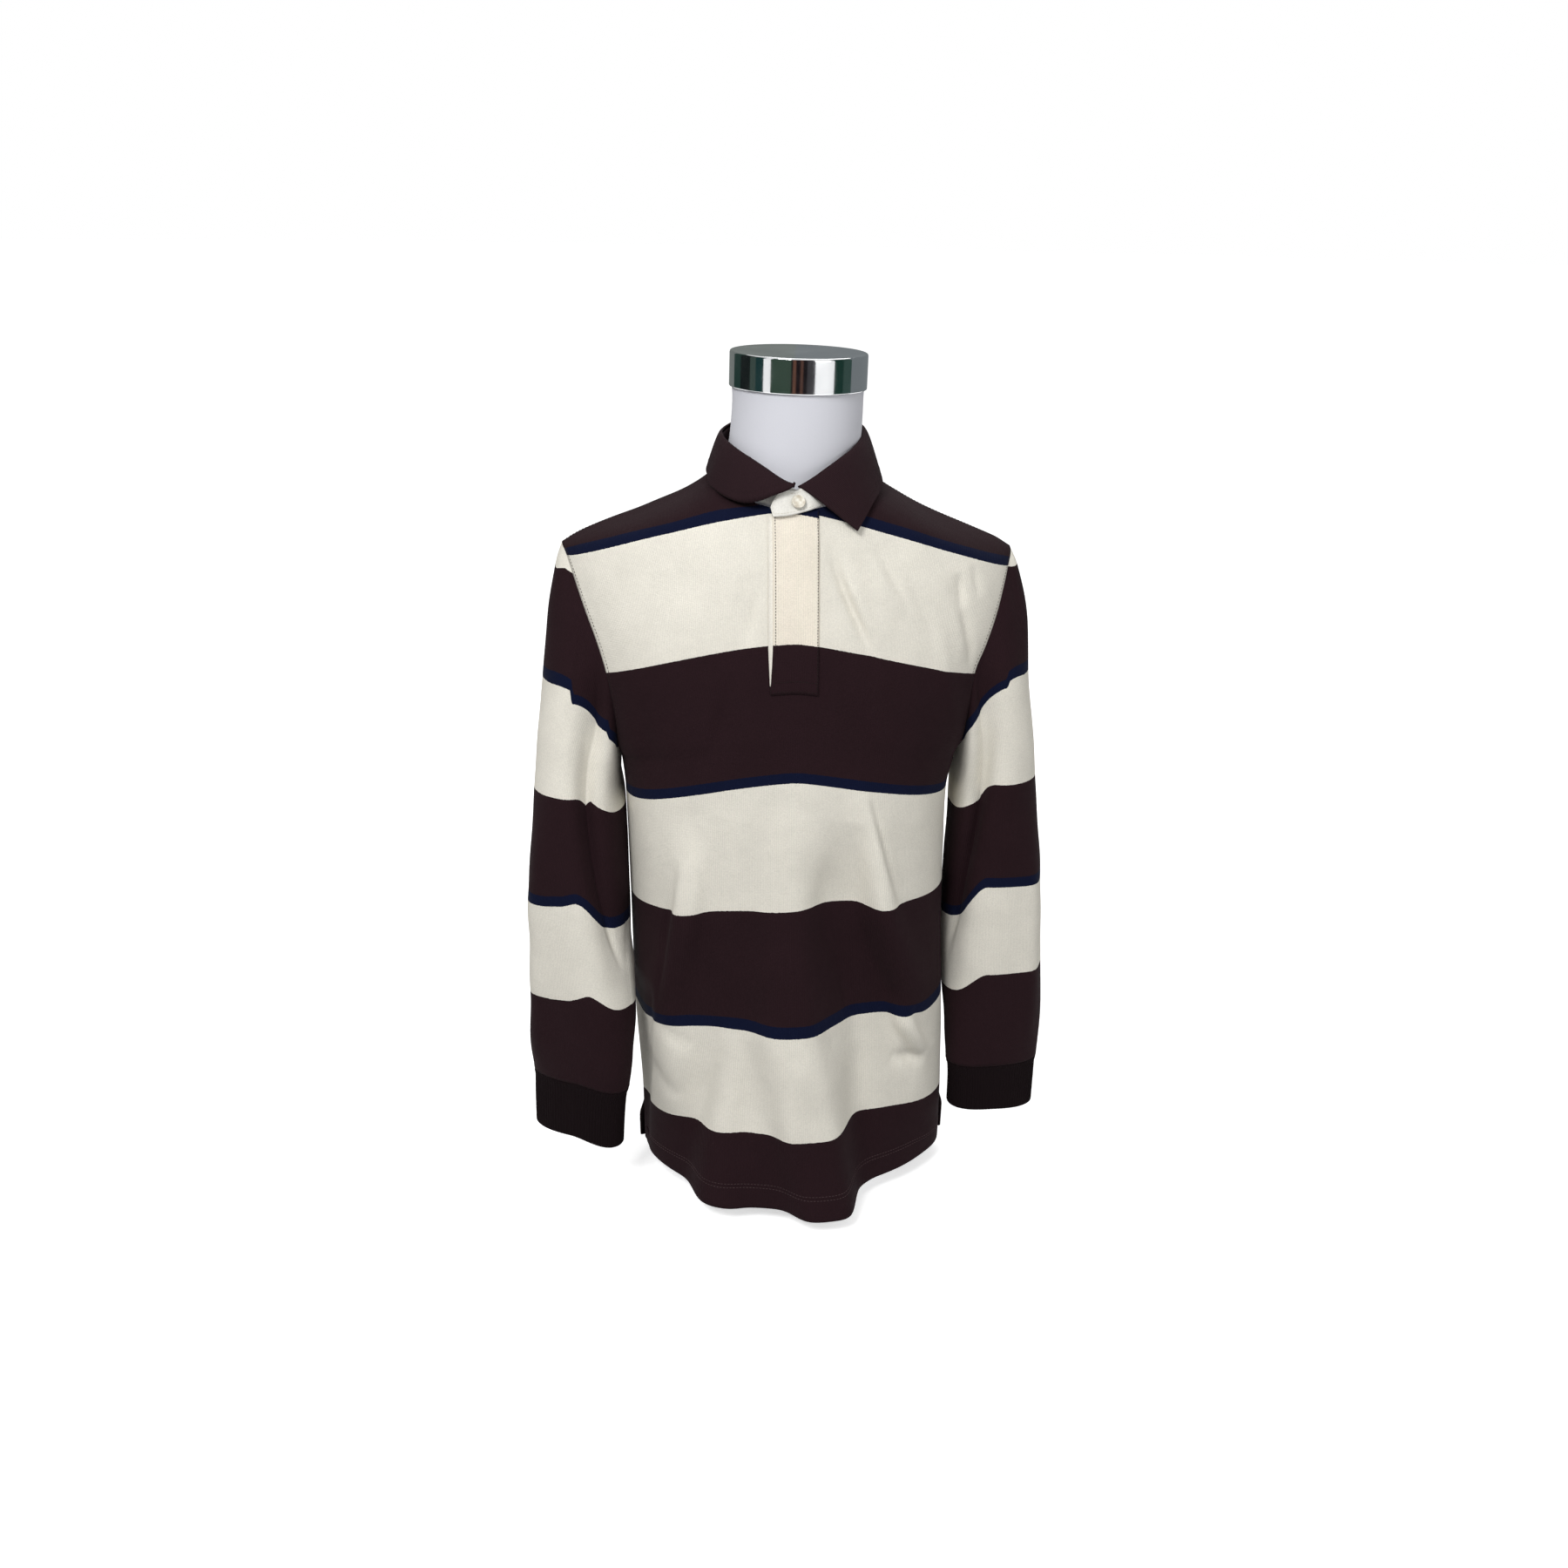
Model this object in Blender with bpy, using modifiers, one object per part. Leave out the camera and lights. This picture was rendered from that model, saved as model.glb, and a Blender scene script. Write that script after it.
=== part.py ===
"""Long-sleeved rugby polo shirt on a limbless counter-top dress form.

Metres, +Z up, front towards -Y; the origin is the centre of the form's flat base.
Tables and named sizes are in millimetres. "right" and "left" are the wearer's.
"""

from math import cos, pi, radians, sin

import bpy
import numpy as np

MM = 0.001
WALL = 1.4
SHOULDER_GAP = 0.80
SLEEVE_GAP = 0.55

# Flat heights above the hem, measured up the cloth at the front
UNDERARM_V = 488.0
CHEST_LINE_V = 696.0
FRONT_TIP_V, FRONT_NECK_POINT_V, FRONT_NECK_DEPTH = 733.0, 797.0, 96.5
BACK_TIP_V, BACK_NECK_POINT_V, BACK_NECK_DEPTH = 728.0, 799.0, 34.0
NECK_SHARE = 0.35

# Shoulder seam: share of the way from the neck point to the tip, and its height
NECK_POINT_X, NECK_POINT_Z, SEAM_Y = 69.0, 733.0, 5.0
RIGHT_TIP_X, LEFT_TIP_X = -212.0, 208.0
SHOULDER_COLUMNS = ("share", "z_right", "z_left")
SHOULDER = (
    (0.00, 732.0, 732.0),
    (0.10, 721.0, 721.0),
    (0.20, 713.0, 712.5),
    (0.35, 704.0, 701.0),
    (0.50, 695.0, 691.5),
    (0.65, 687.5, 683.0),
    (0.80, 679.0, 674.5),
    (0.90, 672.5, 668.5),
    (1.00, 664.0, 660.0),
)
NECK_CENTRE_X, NECK_FRONT_Y, NECK_FRONT_Z = -4.0, -92.5, 711.5
NECK_BACK_Y, NECK_BACK_Z = 64.0, 744.0
# How steeply the cloth arrives at the shoulder seam, and at the neckline on top of that
SEAM_RISE, NECK_RISE = 0.12, 1.1

# One row per level of cloth: wearer's right edge (x_r, z_r), middle (_m), left edge (x_l, z_l).
# The row is part of an oval whose side lies at y_side; "reach" is the share that the panel covers.
PANEL_COLUMNS = (
    "v", "x_r", "z_r", "x_l", "z_l", "x_m", "y_m", "z_m",
    "y_side", "reach", "full", "turn", "sag_r", "sag_l",
)
FRONT_ROWS = (
    (0.0, -143.5, 27, 169, 23, 10, -100, 17, 0, 1.0, 1.95, 1.0, 3.5, 2.0),
    (84.0, -144.5, 84, 168, 91, 6, -103, 99, 3, 1.0, 2.0, 1.0, 2.0, 2.0),
    (201.0, -151, 192, 163, 203, 2, -106, 214, 4, 1.0, 2.2, 1.0, 2.0, 2.0),
    (331.5, -154, 321, 157, 332, -1, -122, 344, 3, 1.0, 2.3, 1.0, 1.8, 1.7),
    (448.5, -157, 425, 155, 430, -3, -127, 468, 2, 1.0, 2.3, 1.0, 1.75, 1.4),
    (488.0, -161, 466, 162, 466, -4, -126, 508, 1, 1.0, 2.3, 1.0, 1.7, 1.4),
    (496.0, -163, 472, 163, 472, -4, -126, 515.5, 0, 0.99, 2.3, 0.95, 1.7, 1.4),
    (508.0, -164, 483, 164, 483, -4, -125.5, 527.5, 0, 0.967, 2.3, 0.85, 1.7, 1.38),
    (532.0, -165, 508, 165, 508, -4, -124, 551, 0, 0.937, 2.3, 0.65, 1.7, 1.35),
    (556.0, -168, 533, 166, 531, -4, -122, 575, 0, 0.915, 2.3, 0.5, 1.7, 1.33),
    (579.0, -172, 556, 168, 553, -4, -119, 598, 0, 0.904, 2.3, 0.35, 1.68, 1.3),
    (608.0, -180, 584, 178, 579, -4, -114.5, 626, 0, 0.908, 2.25, 0.2, 1.65, 1.27),
    (638.0, -190, 611, 188, 605, -4, -108, 655, 0, 0.926, 2.2, 0.1, 1.6, 1.25),
    (668.0, -199, 636, 196, 629, -4, -100.5, 684, 0, 0.955, 2.15, 0.0, 1.55, 1.2),
    (696.0, -206, 655, 202, 645, -4, -92.5, 708.5, 0, 0.982, 2.1, 0.0, 1.5, 1.2),
)
BACK_ROWS = (
    (0.0, -143.5, 22, 170, 22, 12, 104, 13, 13, 1.0, 1.9, 1.0, 2.0, 2.0),
    (84.0, -144.5, 84, 168, 91, 8, 104, 96, 4, 1.0, 2.1, 1.0, 2.0, 2.0),
    (201.0, -151, 192, 163, 203, 4, 108, 212, 5, 1.0, 2.2, 1.0, 2.0, 2.0),
    (331.5, -154, 321, 157, 332, 0, 117, 340, 4, 1.0, 2.3, 1.0, 1.8, 1.7),
    (448.5, -157, 425, 155, 430, -1, 124, 458, 3, 1.0, 2.3, 1.0, 1.6, 1.4),
    (488.0, -161, 466, 162, 466, -1, 126, 497, 2, 1.0, 2.3, 1.0, 1.6, 1.4),
    (496.0, -163, 472, 163, 472, -1, 126, 505, 2, 0.99, 2.3, 0.95, 1.6, 1.4),
    (508.0, -164, 483, 164, 483, -1, 126, 516, 2, 0.967, 2.3, 0.85, 1.5, 1.38),
    (532.0, -165, 508, 165, 508, -1, 125.5, 540, 2, 0.937, 2.3, 0.65, 1.4, 1.35),
    (556.0, -168, 533, 166, 531, -1, 124.5, 563, 2, 0.915, 2.3, 0.5, 1.35, 1.3),
    (579.0, -172, 556, 168, 553, -1, 123, 586, 2, 0.904, 2.3, 0.35, 1.3, 1.3),
    (608.0, -180, 584, 178, 579, -1, 120, 614, 3, 0.908, 2.25, 0.2, 1.3, 1.3),
    (638.0, -190, 611, 188, 605, -1, 115, 642, 4, 0.926, 2.2, 0.1, 1.3, 1.3),
    (668.0, -199, 636, 196, 629, -1, 107, 669, 5, 0.955, 2.15, 0.0, 1.3, 1.3),
    (696.0, -206, 655, 202, 645, -1, 97, 693, 6, 0.982, 2.1, 0.0, 1.3, 1.3),
)

# Hanging folds: at each height v, the cloth between x_a and x_b stands out by "out",
# stepping up over soft_a and down over soft_b
FOLD_COLUMNS = ("v", "x_a", "x_b", "soft_a", "soft_b", "out")
FRONT_FOLDS = (
    ((0, -91, 67, 9, 6, 24), (84, -84, 55, 9, 9, 17), (201, -66, 40, 16, 14, 8),
     (300, -60, 30, 16, 14, 0)),
    ((0, 4, 64, 12, 7, 26), (84, -10, 50, 12, 10, 18), (201, -32, 28, 13, 12, 22), (331, -34, 8, 11, 10, 9),
     (430, -40, 0, 16, 16, 0)),
    ((0, -92, -50, 9, 12, 11), (84, -86, -60, 9, 12, 3), (140, -80, -60, 12, 12, 0)),
    ((0, 82, 164, 10, 12, -9), (84, 63, 128, 9, 18, -13), (201, 52, 110, 10, 9, -14),
     (331, 20, 66, 10, 7, -15), (420, 30, 62, 14, 9, 0)),
    ((110, 112, 150, 12, 14, 0), (201, 110, 142, 9, 14, 9), (331, 75, 97, 7, 9, 16), (410, 60, 78, 9, 7, 7),
     (465, 44, 66, 12, 8, 0)),
    ((84, -150, -112, 12, 12, 0), (201, -150, -110, 12, 12, 12), (331, -114, -90, 8, 8, 13),
     (430, -114, -84, 14, 14, 0)),
)
BACK_FOLDS = (
    ((0, -86, -30, 12, 10, 24), (120, -74, -26, 14, 12, 18), (280, -60, -20, 16, 14, 9),
     (430, -50, -10, 18, 18, 0)),
    ((0, 34, 92, 10, 14, 22), (120, 34, 80, 12, 14, 17), (280, 30, 66, 14, 16, 8),
     (420, 30, 60, 18, 18, 0)),
    ((0, -26, 30, 10, 10, -8), (120, -22, 30, 12, 12, -7), (280, -14, 24, 14, 14, -4),
     (400, -8, 20, 18, 18, 0)),
    ((250, 60, 92, 14, 12, 0), (380, 74, 104, 12, 12, 8), (500, 96, 124, 14, 14, 5),
     (590, 110, 140, 16, 16, 0)),
)

# Narrow drag lines across the panel: both ends, half width and depth (inwards is negative)
CREASE_COLUMNS = ("v_a", "x_a", "v_b", "x_b", "half", "out")
FRONT_CREASES = (
    (690, 20, 560, 70, 8, -4.5),
    (672, 34, 600, 62, 7, 2.5),
    (650, -44, 575, -58, 8, -3.0),
    (676, 138, 575, 163, 7, -3.5),
    (640, 122, 520, 150, 9, 3.0),
    (560, -146, 470, -128, 9, -3.0),
    (190, 112, 110, 136, 8, -5.0),
    (250, -128, 60, -139, 8, -4.0),
)
BACK_CREASES = (
    (670, -150, 560, -128, 10, -4.0),
    (664, 146, 556, 122, 10, -4.0),
    (600, -60, 430, -92, 12, 3.0),
)

LOWER_LEVELS = (
    0, 14, 38, 62, 84, 112, 142, 172, 201, 232, 266, 300, 331.5, 362, 392, 420, 448.5, 470, 488,
)
ARMHOLE_LEVELS = (496, 508, 532, 556, 579, 608, 638, 668, 696)
TOP_SHARES = (0.34, 0.67, 1.0)
NECK_STEPS, SHOULDER_STEPS = 10, 8
SLIT_HALF, SLIT_FOOT_V = 0.010, 556.0

# Sleeve: one row per height above the cuff seam, as if the tube ran on past the armhole
SLEEVE_COLUMNS = ("v", "x_c", "y_c", "half_x", "half_y", "z", "drop", "from_cos", "turn")
RIGHT_SLEEVE_ROWS = (
    (0.0, -207, -38, 50.5, 26, 131, 10, 0.0, 24),
    (40.0, -206, -38, 54, 32, 171, 14, 0.2, 27),
    (88.0, -202, -38, 53.5, 37, 224, 20, 0.4, 30),
    (140.0, -201.5, -35, 50, 43, 274, 30, 0.35, 28),
    (205.0, -204, -30, 47.5, 48, 328, 42, 0.3, 24),
    (270.0, -202, -24, 44.5, 52, 383, 34, 0.2, 18),
    (335.5, -200.5, -17, 42, 54, 437, 28, 0.1, 12),
    (400.0, -197.5, -10, 41, 56, 490, 46, -0.1, 6),
    (452.5, -193, -5, 40, 58, 540, 62, -0.2, 0),
    (520.0, -187, -3, 40, 56, 598, 60, -0.2, 0),
    (583.0, -178, 0, 40, 46, 646, 40, -0.3, 0),
    (605.0, -173, 3, 39, 38, 664, 30, -0.3, 0),
)
LEFT_SLEEVE_ROWS = (
    (0.0, 220.5, -10, 48, 26, 122, 2, 0.0, 6),
    (40.0, 220, -8, 50, 33, 170, 10, 0.2, 8),
    (88.0, 215.5, -5, 50, 40, 231, 26, 0.3, 8),
    (140.0, 212.5, -3, 49.5, 45, 282, 32, 0.3, 6),
    (205.0, 209.3, -1, 48, 50, 331, 44, 0.3, 4),
    (270.0, 206, -2, 44, 53, 388, 40, 0.2, 2),
    (335.5, 203, -3, 40.5, 56, 441, 34, 0.1, 0),
    (400.0, 197.5, -4, 39.5, 57, 494, 48, -0.1, 0),
    (452.5, 190.5, -5, 38, 58, 546, 62, -0.2, 0),
    (520.0, 185.5, -3, 40, 56, 600, 60, -0.2, 0),
    (583.0, 176, 0, 40, 46, 645, 40, -0.3, 0),
    (605.0, 170, 3, 39, 38, 661, 30, -0.3, 0),
)
# Grooves running down a sleeve: height, angle round from the inner side, half width, depth
GROOVE_COLUMNS = ("v", "angle", "half", "out")
RIGHT_GROOVES = (
    ((60, 20, 18, 0), (190, 20, 18, -3), (250, 44, 17, -8), (335, 66, 15, -12), (452, 80, 15, -11),
     (560, 96, 15, -4)),
    ((0, 262, 26, 0), (120, 258, 24, -6), (300, 280, 22, -8), (440, 290, 22, 0), (560, 290, 22, 0)),
    ((0, 128, 20, 0), (90, 128, 18, 5), (240, 120, 18, 4), (330, 116, 18, 0), (560, 116, 18, 0)),
)
LEFT_GROOVES = (
    ((60, 20, 18, 0), (190, 28, 18, -6), (335, 60, 15, -12), (452, 78, 15, -11), (560, 96, 15, -5)),
    ((0, 250, 26, 0), (140, 252, 24, -7), (300, 268, 22, -7), (440, 280, 22, 0), (560, 280, 22, 0)),
    ((0, 118, 20, 0), (70, 122, 16, 4), (190, 126, 18, 5), (320, 128, 18, 0), (560, 128, 18, 0)),
)
CAP_TOP_V, SLEEVE_UNDERARM_V, CAP_BLEND = 605.0, 470.0, 150.0
# Body points that tell which way the armhole edge faces
BESIDE_EDGE, UNDERARM_DROP = 0.97, 5.0
SLEEVE_SHARES = (
    0.0, 0.03, 0.075, 0.13, 0.19, 0.25, 0.31, 0.37, 0.44, 0.51, 0.58, 0.65, 0.72, 0.79, 0.86, 0.92,
    0.965, 1.0,
)

# Cuff: share down the rib band, its shift along x, how much smaller than the sleeve end it is,
# its distance below the seam, and how much lower its outer side hangs over one half width
CUFF_COLUMNS = ("share", "shift_x", "shrink", "down", "tilt")
RIGHT_CUFF_ROWS = (
    (0.0, 0, 0.2, 0.7, 0), (0.12, -1, 2.4, 9, 0), (0.5, -2.5, 3.4, 33, 1), (1.0, -3.5, 4.2, 64, 1.5),
)
LEFT_CUFF_ROWS = (
    (0.0, 0, 0.2, 0.7, 0), (0.12, 0.5, 2.4, 8, 0), (0.5, 1, 3.0, 28, -1), (1.0, 1, 3.2, 54, -2),
)
CUFF_WALL, CUFF_HALF = 2.0, 48.0

# Collar stand: turn in degrees, starting left of the centre under the button end
STAND_START, STAND_END, STAND_LEAN = -9.0, 377.0, 0.10
STAND_COLUMNS = ("turn", "height")
STAND_HEIGHTS = ((0, 17.0), (15, 20.5), (28, 25.5), (42, 29.5), (60, 31.5), (90, 32.0), (180, 33.0))
STAND_SLUMP, SLUMP_TURN, SLUMP_HALF = 6.0, 115.0, 45.0
STAND_WALL, STAND_STEPS, STAND_ROWS, STAND_INSET, STAND_LIFT = 1.8, 46, 5, 1.6, 1.5
# The band winds outwards as it goes, so that its buttoned end laps over its start
SPIRAL_START, SPIRAL_GROWTH = -1.3, 2.8
TAB_START, TAB_ROUND, TAB_DROP, MM_A_DEGREE = 360.0, 15.0, 6.0, 1.35

# Collar fall: turn about the neck from the centre front towards the wearer's right,
# the outer edge, and how much of the edge rolls under
FALL_COLUMNS = ("turn", "x", "y", "z", "roll", "crown", "swell")
FALL_ROWS = (
    (1.5, -6, -95, 731.5, 0.4, 6.0, 4.5),
    (9, -14, -99, 728, 0.8, 6.0, 4.5),
    (18, -26, -99, 724.5, 1.0, 5.5, 4.0),
    (28, -38, -95, 720.5, 1.0, 5.0, 4.0),
    (40, -52, -85, 718.5, 1.0, 4.0, 3.0),
    (54, -67, -69, 723, 0.8, 3.0, 2.0),
    (72, -78, -39, 728.5, 0.3, 2.4, 1.6),
    (92, -78, -2, 732, 0.0, 2.2, 1.5),
    (125, -72, 44, 734, 0.0, 3.0, 3.0),
    (155, -40, 75, 734, 0.0, 4.0, 4.0),
    (180, 0, 83, 734, 0.0, 4.0, 4.0),
    (205, 40, 75, 734, 0.0, 4.0, 4.0),
    (235, 73, 44, 734, 0.0, 4.2, 3.5),
    (268, 80, -2, 731.5, 0.0, 4.6, 1.5),
    (288, 78, -34, 728, 0.0, 4.6, 2.0),
    (308, 72, -56, 722.5, 0.0, 5.0, 3.0),
    (330, 64, -75, 716, 0.0, 5.5, 4.0),
    (345, 56, -89, 706.5, 0.0, 6.0, 4.5),
    (358.5, 48, -99, 696, 0.0, 6.5, 5.0),
)
FALL_STEPS, FALL_ROWS_ACROSS, FALL_WALL = 40, 8, 1.8
# Where the fall starts over the stand, how high it rises first, and how its edge rolls under
FALL_LIFT, FALL_INSET, FALL_RISE, FALL_SHOULDER = 3.4, 1.2, 3.2, 2.0
ROLL_ANGLES, ROLL_SIZE, ROLL_IN, ROLL_STEP = (55.0, 115.0, 165.0), 3.6, 0.4, 0.6

# Placket bands lie on the front panel
PLACKET_U, FRONT_HALF, PLACKET_SPREAD, NECKLINE_INSET = (-21.5, 20.5), 190.0, 1.05, 1.6
BAND_STEPS = 6
PLACKET_LEVELS = (536, 544, 556, 567.5, 579, 593.5, 608, 623, 638, 653, 668, 682, 696)
PLACKET_OUT, FACING_OUT, FACING_WALL = 3.1, 1.52, 0.9
FACING_U_TOP, FACING_U_FOOT, FACING_WIDENS, FACING_INSET = -24.6, -22.4, 45.0, 4.0

BUTTON_TURN, BUTTON_SHARE, BUTTON_OUT = 358.5, 0.47, 2.5
BUTTON_PROFILE = (
    (0.0, 0.5), (3.6, 0.5), (4.4, 1.0), (5.2, 1.3), (5.85, 1.0), (6.1, 0.2), (5.9, -0.7),
    (4.8, -1.2), (0.0, -1.3),
)
BUTTON_STEPS = 24

# Dress form rings: x_mid, x_side, y_side, z_side, y_front, z_front, y_back, z_back,
# how square the ring is, and how sharply it climbs from its sides to its front and back
FORM_RINGS = (
    (0, 112, 0, 0.0, -76, 0.0, 76, 0.0, 2.2, 2.0),
    (0, 115, 0, 3.0, -79, 3.0, 79, 3.0, 2.2, 2.0),
    (0, 118, 0, 60, -81, 60, 82, 60, 2.2, 2.0),
    (0, 120, 0, 130, -82, 130, 84, 130, 2.2, 2.0),
    (0, 122, 0, 200, -84, 200, 86, 200, 2.2, 2.0),
    (0, 127, 0, 270, -88, 270, 91, 270, 2.2, 2.0),
    (0, 134, 0, 340, -96, 340, 98, 340, 2.2, 2.0),
    (-1, 140, 0, 405, -104, 405, 104, 405, 2.2, 2.0),
    (-1, 145, 0, 460, -107, 458, 108, 460, 2.2, 2.0),
    (-1, 150, 0, 510, -108, 505, 110, 510, 2.2, 2.0),
    (-2, 158, 1, 560, -106, 545, 109, 560, 2.1, 1.8),
    (-2, 171, 2, 603, -102, 577, 104, 604, 2.0, 1.7),
    (-2, 184, 4, 636, -98, 604, 98, 640, 1.8, 1.7),
    (-2, 192, 5, 655, -93, 626, 92, 662, 1.7, 1.8),
    (-2, 190, 5, 668.5, -88, 644, 87, 680, 1.6, 2.0),
    (-2, 182, 5, 674.5, -84, 657, 82, 692, 1.5, 2.2),
    (-2, 160.7, 5, 683.0, -80, 669, 77, 702, 1.5, 2.4),
    (-2, 139.5, 5, 691.3, -76, 680, 71, 712, 1.5, 2.6),
    (-2, 118, 5, 700.7, -72, 691, 65, 722, 1.5, 2.8),
    (-1, 97, 5, 710.0, -69, 702, 59, 731, 1.6, 3.0),
    (-1, 81, 4, 719.1, -67, 711, 54, 739, 1.7, 3.0),
    (0, 67, 2, 729.0, -65, 720, 51, 746, 1.8, 2.6),
    (0, 62.5, -2, 736.0, -65, 731, 50, 752, 1.9, 2.2),
    (0, 60, -6, 748.0, -66, 745, 49, 761, 2.0, 2.0),
    (2, 59.5, -8, 770.0, -67, 769, 50, 774, 2.0, 2.0),
    (3, 59.0, -9, 796.0, -68, 796, 50, 797, 2.0, 2.0),
    (3, 59.5, -9, 810.0, -68.5, 810, 50.5, 810, 2.0, 2.0),
)
# The form stands a little askew above TILT_FROM, more so over the next TILT_OVER
FORM_STEPS, FORM_TILT, TILT_CENTRE_X, TILT_FROM, TILT_OVER = 36, 0.0125, -2.0, 300.0, 300.0
CAP_PROFILE = (
    (0.0, 809.0), (58.6, 809.0), (60.4, 810.4), (61.4, 813.5), (62.0, 829.0), (61.2, 833.0),
    (58.6, 835.4), (0.0, 836.2),
)
CAP_CENTRE, CAP_PIVOT_Z, CAP_LIFT = (3.2, -9.0), 822.0, 2.5
CAP_LEAN_Y, CAP_LEAN_X, CAP_STEPS = 0.8, 0.8, 48

CLOTH_DARK, CLOTH_CREAM = (0.035, 0.018, 0.019), (0.78, 0.72, 0.58)
FORM_WHITE, CHROME, PEARL = (0.68, 0.69, 0.75), (0.72, 0.74, 0.75), (0.78, 0.70, 0.55)


def read(rows, columns, name, at, key=None):
    """Smooth curve through one column of a table, never overshooting its rows."""
    data = np.asarray(rows, float)
    x = data[:, columns.index(key) if key else 0]
    y = data[:, columns.index(name)]
    at = np.clip(np.asarray(at, float), x[0], x[-1])
    step, slope = np.diff(x), np.diff(y) / np.diff(x)
    bend = np.zeros(len(x))
    same = slope[:-1] * slope[1:] > 0
    weight = np.where(same, slope[:-1] * slope[1:], 0.0)
    bend[1:-1] = np.where(same, 2.0 * weight / np.where(same, slope[:-1] + slope[1:], 1.0), 0.0)
    bend[0], bend[-1] = slope[0], slope[-1]
    i = np.clip(np.searchsorted(x, at, side="right") - 1, 0, len(x) - 2)
    t = (at - x[i]) / step[i]
    return (
        (1 + 2 * t) * (1 - t) ** 2 * y[i]
        + t * (1 - t) ** 2 * step[i] * bend[i]
        + t * t * (3 - 2 * t) * y[i + 1]
        + t * t * (t - 1) * step[i] * bend[i + 1]
    )


def smooth(t):
    t = np.clip(t, 0.0, 1.0)
    return t * t * (3.0 - 2.0 * t)


def fold_out(folds, x, v):
    out = np.zeros_like(x)
    for rows in folds:
        low, high = rows[0][0], rows[-1][0]
        x_a, x_b, soft_a, soft_b, height = (read(rows, FOLD_COLUMNS, name, v) for name in FOLD_COLUMNS[1:])
        shape = 0.5 * (np.tanh((x - x_a) / soft_a) - np.tanh((x - x_b) / soft_b))
        out += np.where((v >= low) & (v <= high), height * shape, 0.0)
    return out


def crease_out(creases, x, v):
    out = np.zeros_like(x)
    for v_a, x_a, v_b, x_b, half, depth in creases:
        along = (v_a - v) / (v_a - v_b)
        middle = x_a + (x_b - x_a) * along
        fade = np.sin(np.clip(along, 0.0, 1.0) * pi) ** 1.2
        out += depth * fade * np.exp(-(((x - middle) / half) ** 2))
    return out


def body_row(rows, folds, creases, s, v):
    """Point of a body panel from its share across (-1..1) and its height up the cloth."""
    s, v = np.broadcast_arrays(np.asarray(s, float), np.asarray(v, float))
    col = {name: read(rows, PANEL_COLUMNS, name, v) for name in PANEL_COLUMNS[1:]}
    left = s > 0
    x_e = np.where(left, col["x_l"], col["x_r"])
    z_e = np.where(left, col["z_l"], col["z_r"])
    share = np.abs(s) * (1 - col["turn"]) + np.sin(np.abs(s) * pi / 2) * col["turn"]
    k = share * col["reach"]
    x = col["x_m"] + (x_e - col["x_m"]) * share
    bulge = np.clip(1 - k ** col["full"], 0, 1) ** (1 / col["full"])
    y = col["y_side"] + (col["y_m"] - col["y_side"]) * bulge
    z = col["z_m"] + (z_e - col["z_m"]) * share ** np.where(left, col["sag_l"], col["sag_r"])
    side = -1.0 if rows is FRONT_ROWS else 1.0
    edge = 1 - np.abs(s) ** 6
    out = (fold_out(folds, x, v) + crease_out(creases, x, v)) * edge
    lean = 0.75 * k**3
    length = np.sqrt(lean**2 + 1)
    x = x + out * np.where(left, 1, -1) * lean / length
    y = y + side * out / length
    return np.stack([x, y, z], -1)


def top_edge(side, s):
    """Shoulder seams and neckline: the point, the cloth height and the way the cloth arrives."""
    s = np.asarray(s, float)
    a = np.abs(s)
    share = np.clip((a - NECK_SHARE) / (1 - NECK_SHARE), 0, 1)
    tip_x = np.where(s > 0, LEFT_TIP_X, -RIGHT_TIP_X)
    z_side = np.where(
        s > 0,
        read(SHOULDER, SHOULDER_COLUMNS, "z_left", share),
        read(SHOULDER, SHOULDER_COLUMNS, "z_right", share),
    )
    x_side = np.sign(s) * (NECK_POINT_X + (tip_x - NECK_POINT_X) * share)
    turn = np.clip(s / NECK_SHARE, -1, 1) * pi / 2
    c = np.cos(turn)
    if side < 0:
        x_neck = NECK_CENTRE_X * c + NECK_POINT_X * np.sin(turn)
        y_neck = SEAM_Y + (NECK_FRONT_Y - SEAM_Y) * c
        z_neck = NECK_POINT_Z + (NECK_FRONT_Z - NECK_POINT_Z) * c**1.3
        v_tip, v_point, depth = FRONT_TIP_V, FRONT_NECK_POINT_V, FRONT_NECK_DEPTH
    else:
        x_neck = NECK_POINT_X * np.sin(turn)
        y_neck = SEAM_Y + (NECK_BACK_Y - SEAM_Y) * c
        z_neck = NECK_POINT_Z + (NECK_BACK_Z - NECK_POINT_Z) * c
        v_tip, v_point, depth = BACK_TIP_V, BACK_NECK_POINT_V, BACK_NECK_DEPTH
    on_neck = a < NECK_SHARE
    point = np.stack(
        [
            np.where(on_neck, x_neck, x_side),
            np.where(on_neck, y_neck, SEAM_Y) + side * SHOULDER_GAP / 2,
            np.where(on_neck, z_neck, z_side),
        ],
        -1,
    )
    v = np.where(on_neck, v_point - depth * c, v_point + (v_tip - v_point) * share)
    rise = SEAM_RISE + np.where(on_neck, NECK_RISE * c, 0.0)
    arrive = np.stack([np.zeros_like(s), -side * np.ones_like(s), rise], -1)
    arrive /= np.linalg.norm(arrive, axis=-1, keepdims=True)
    return point, v, arrive


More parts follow.
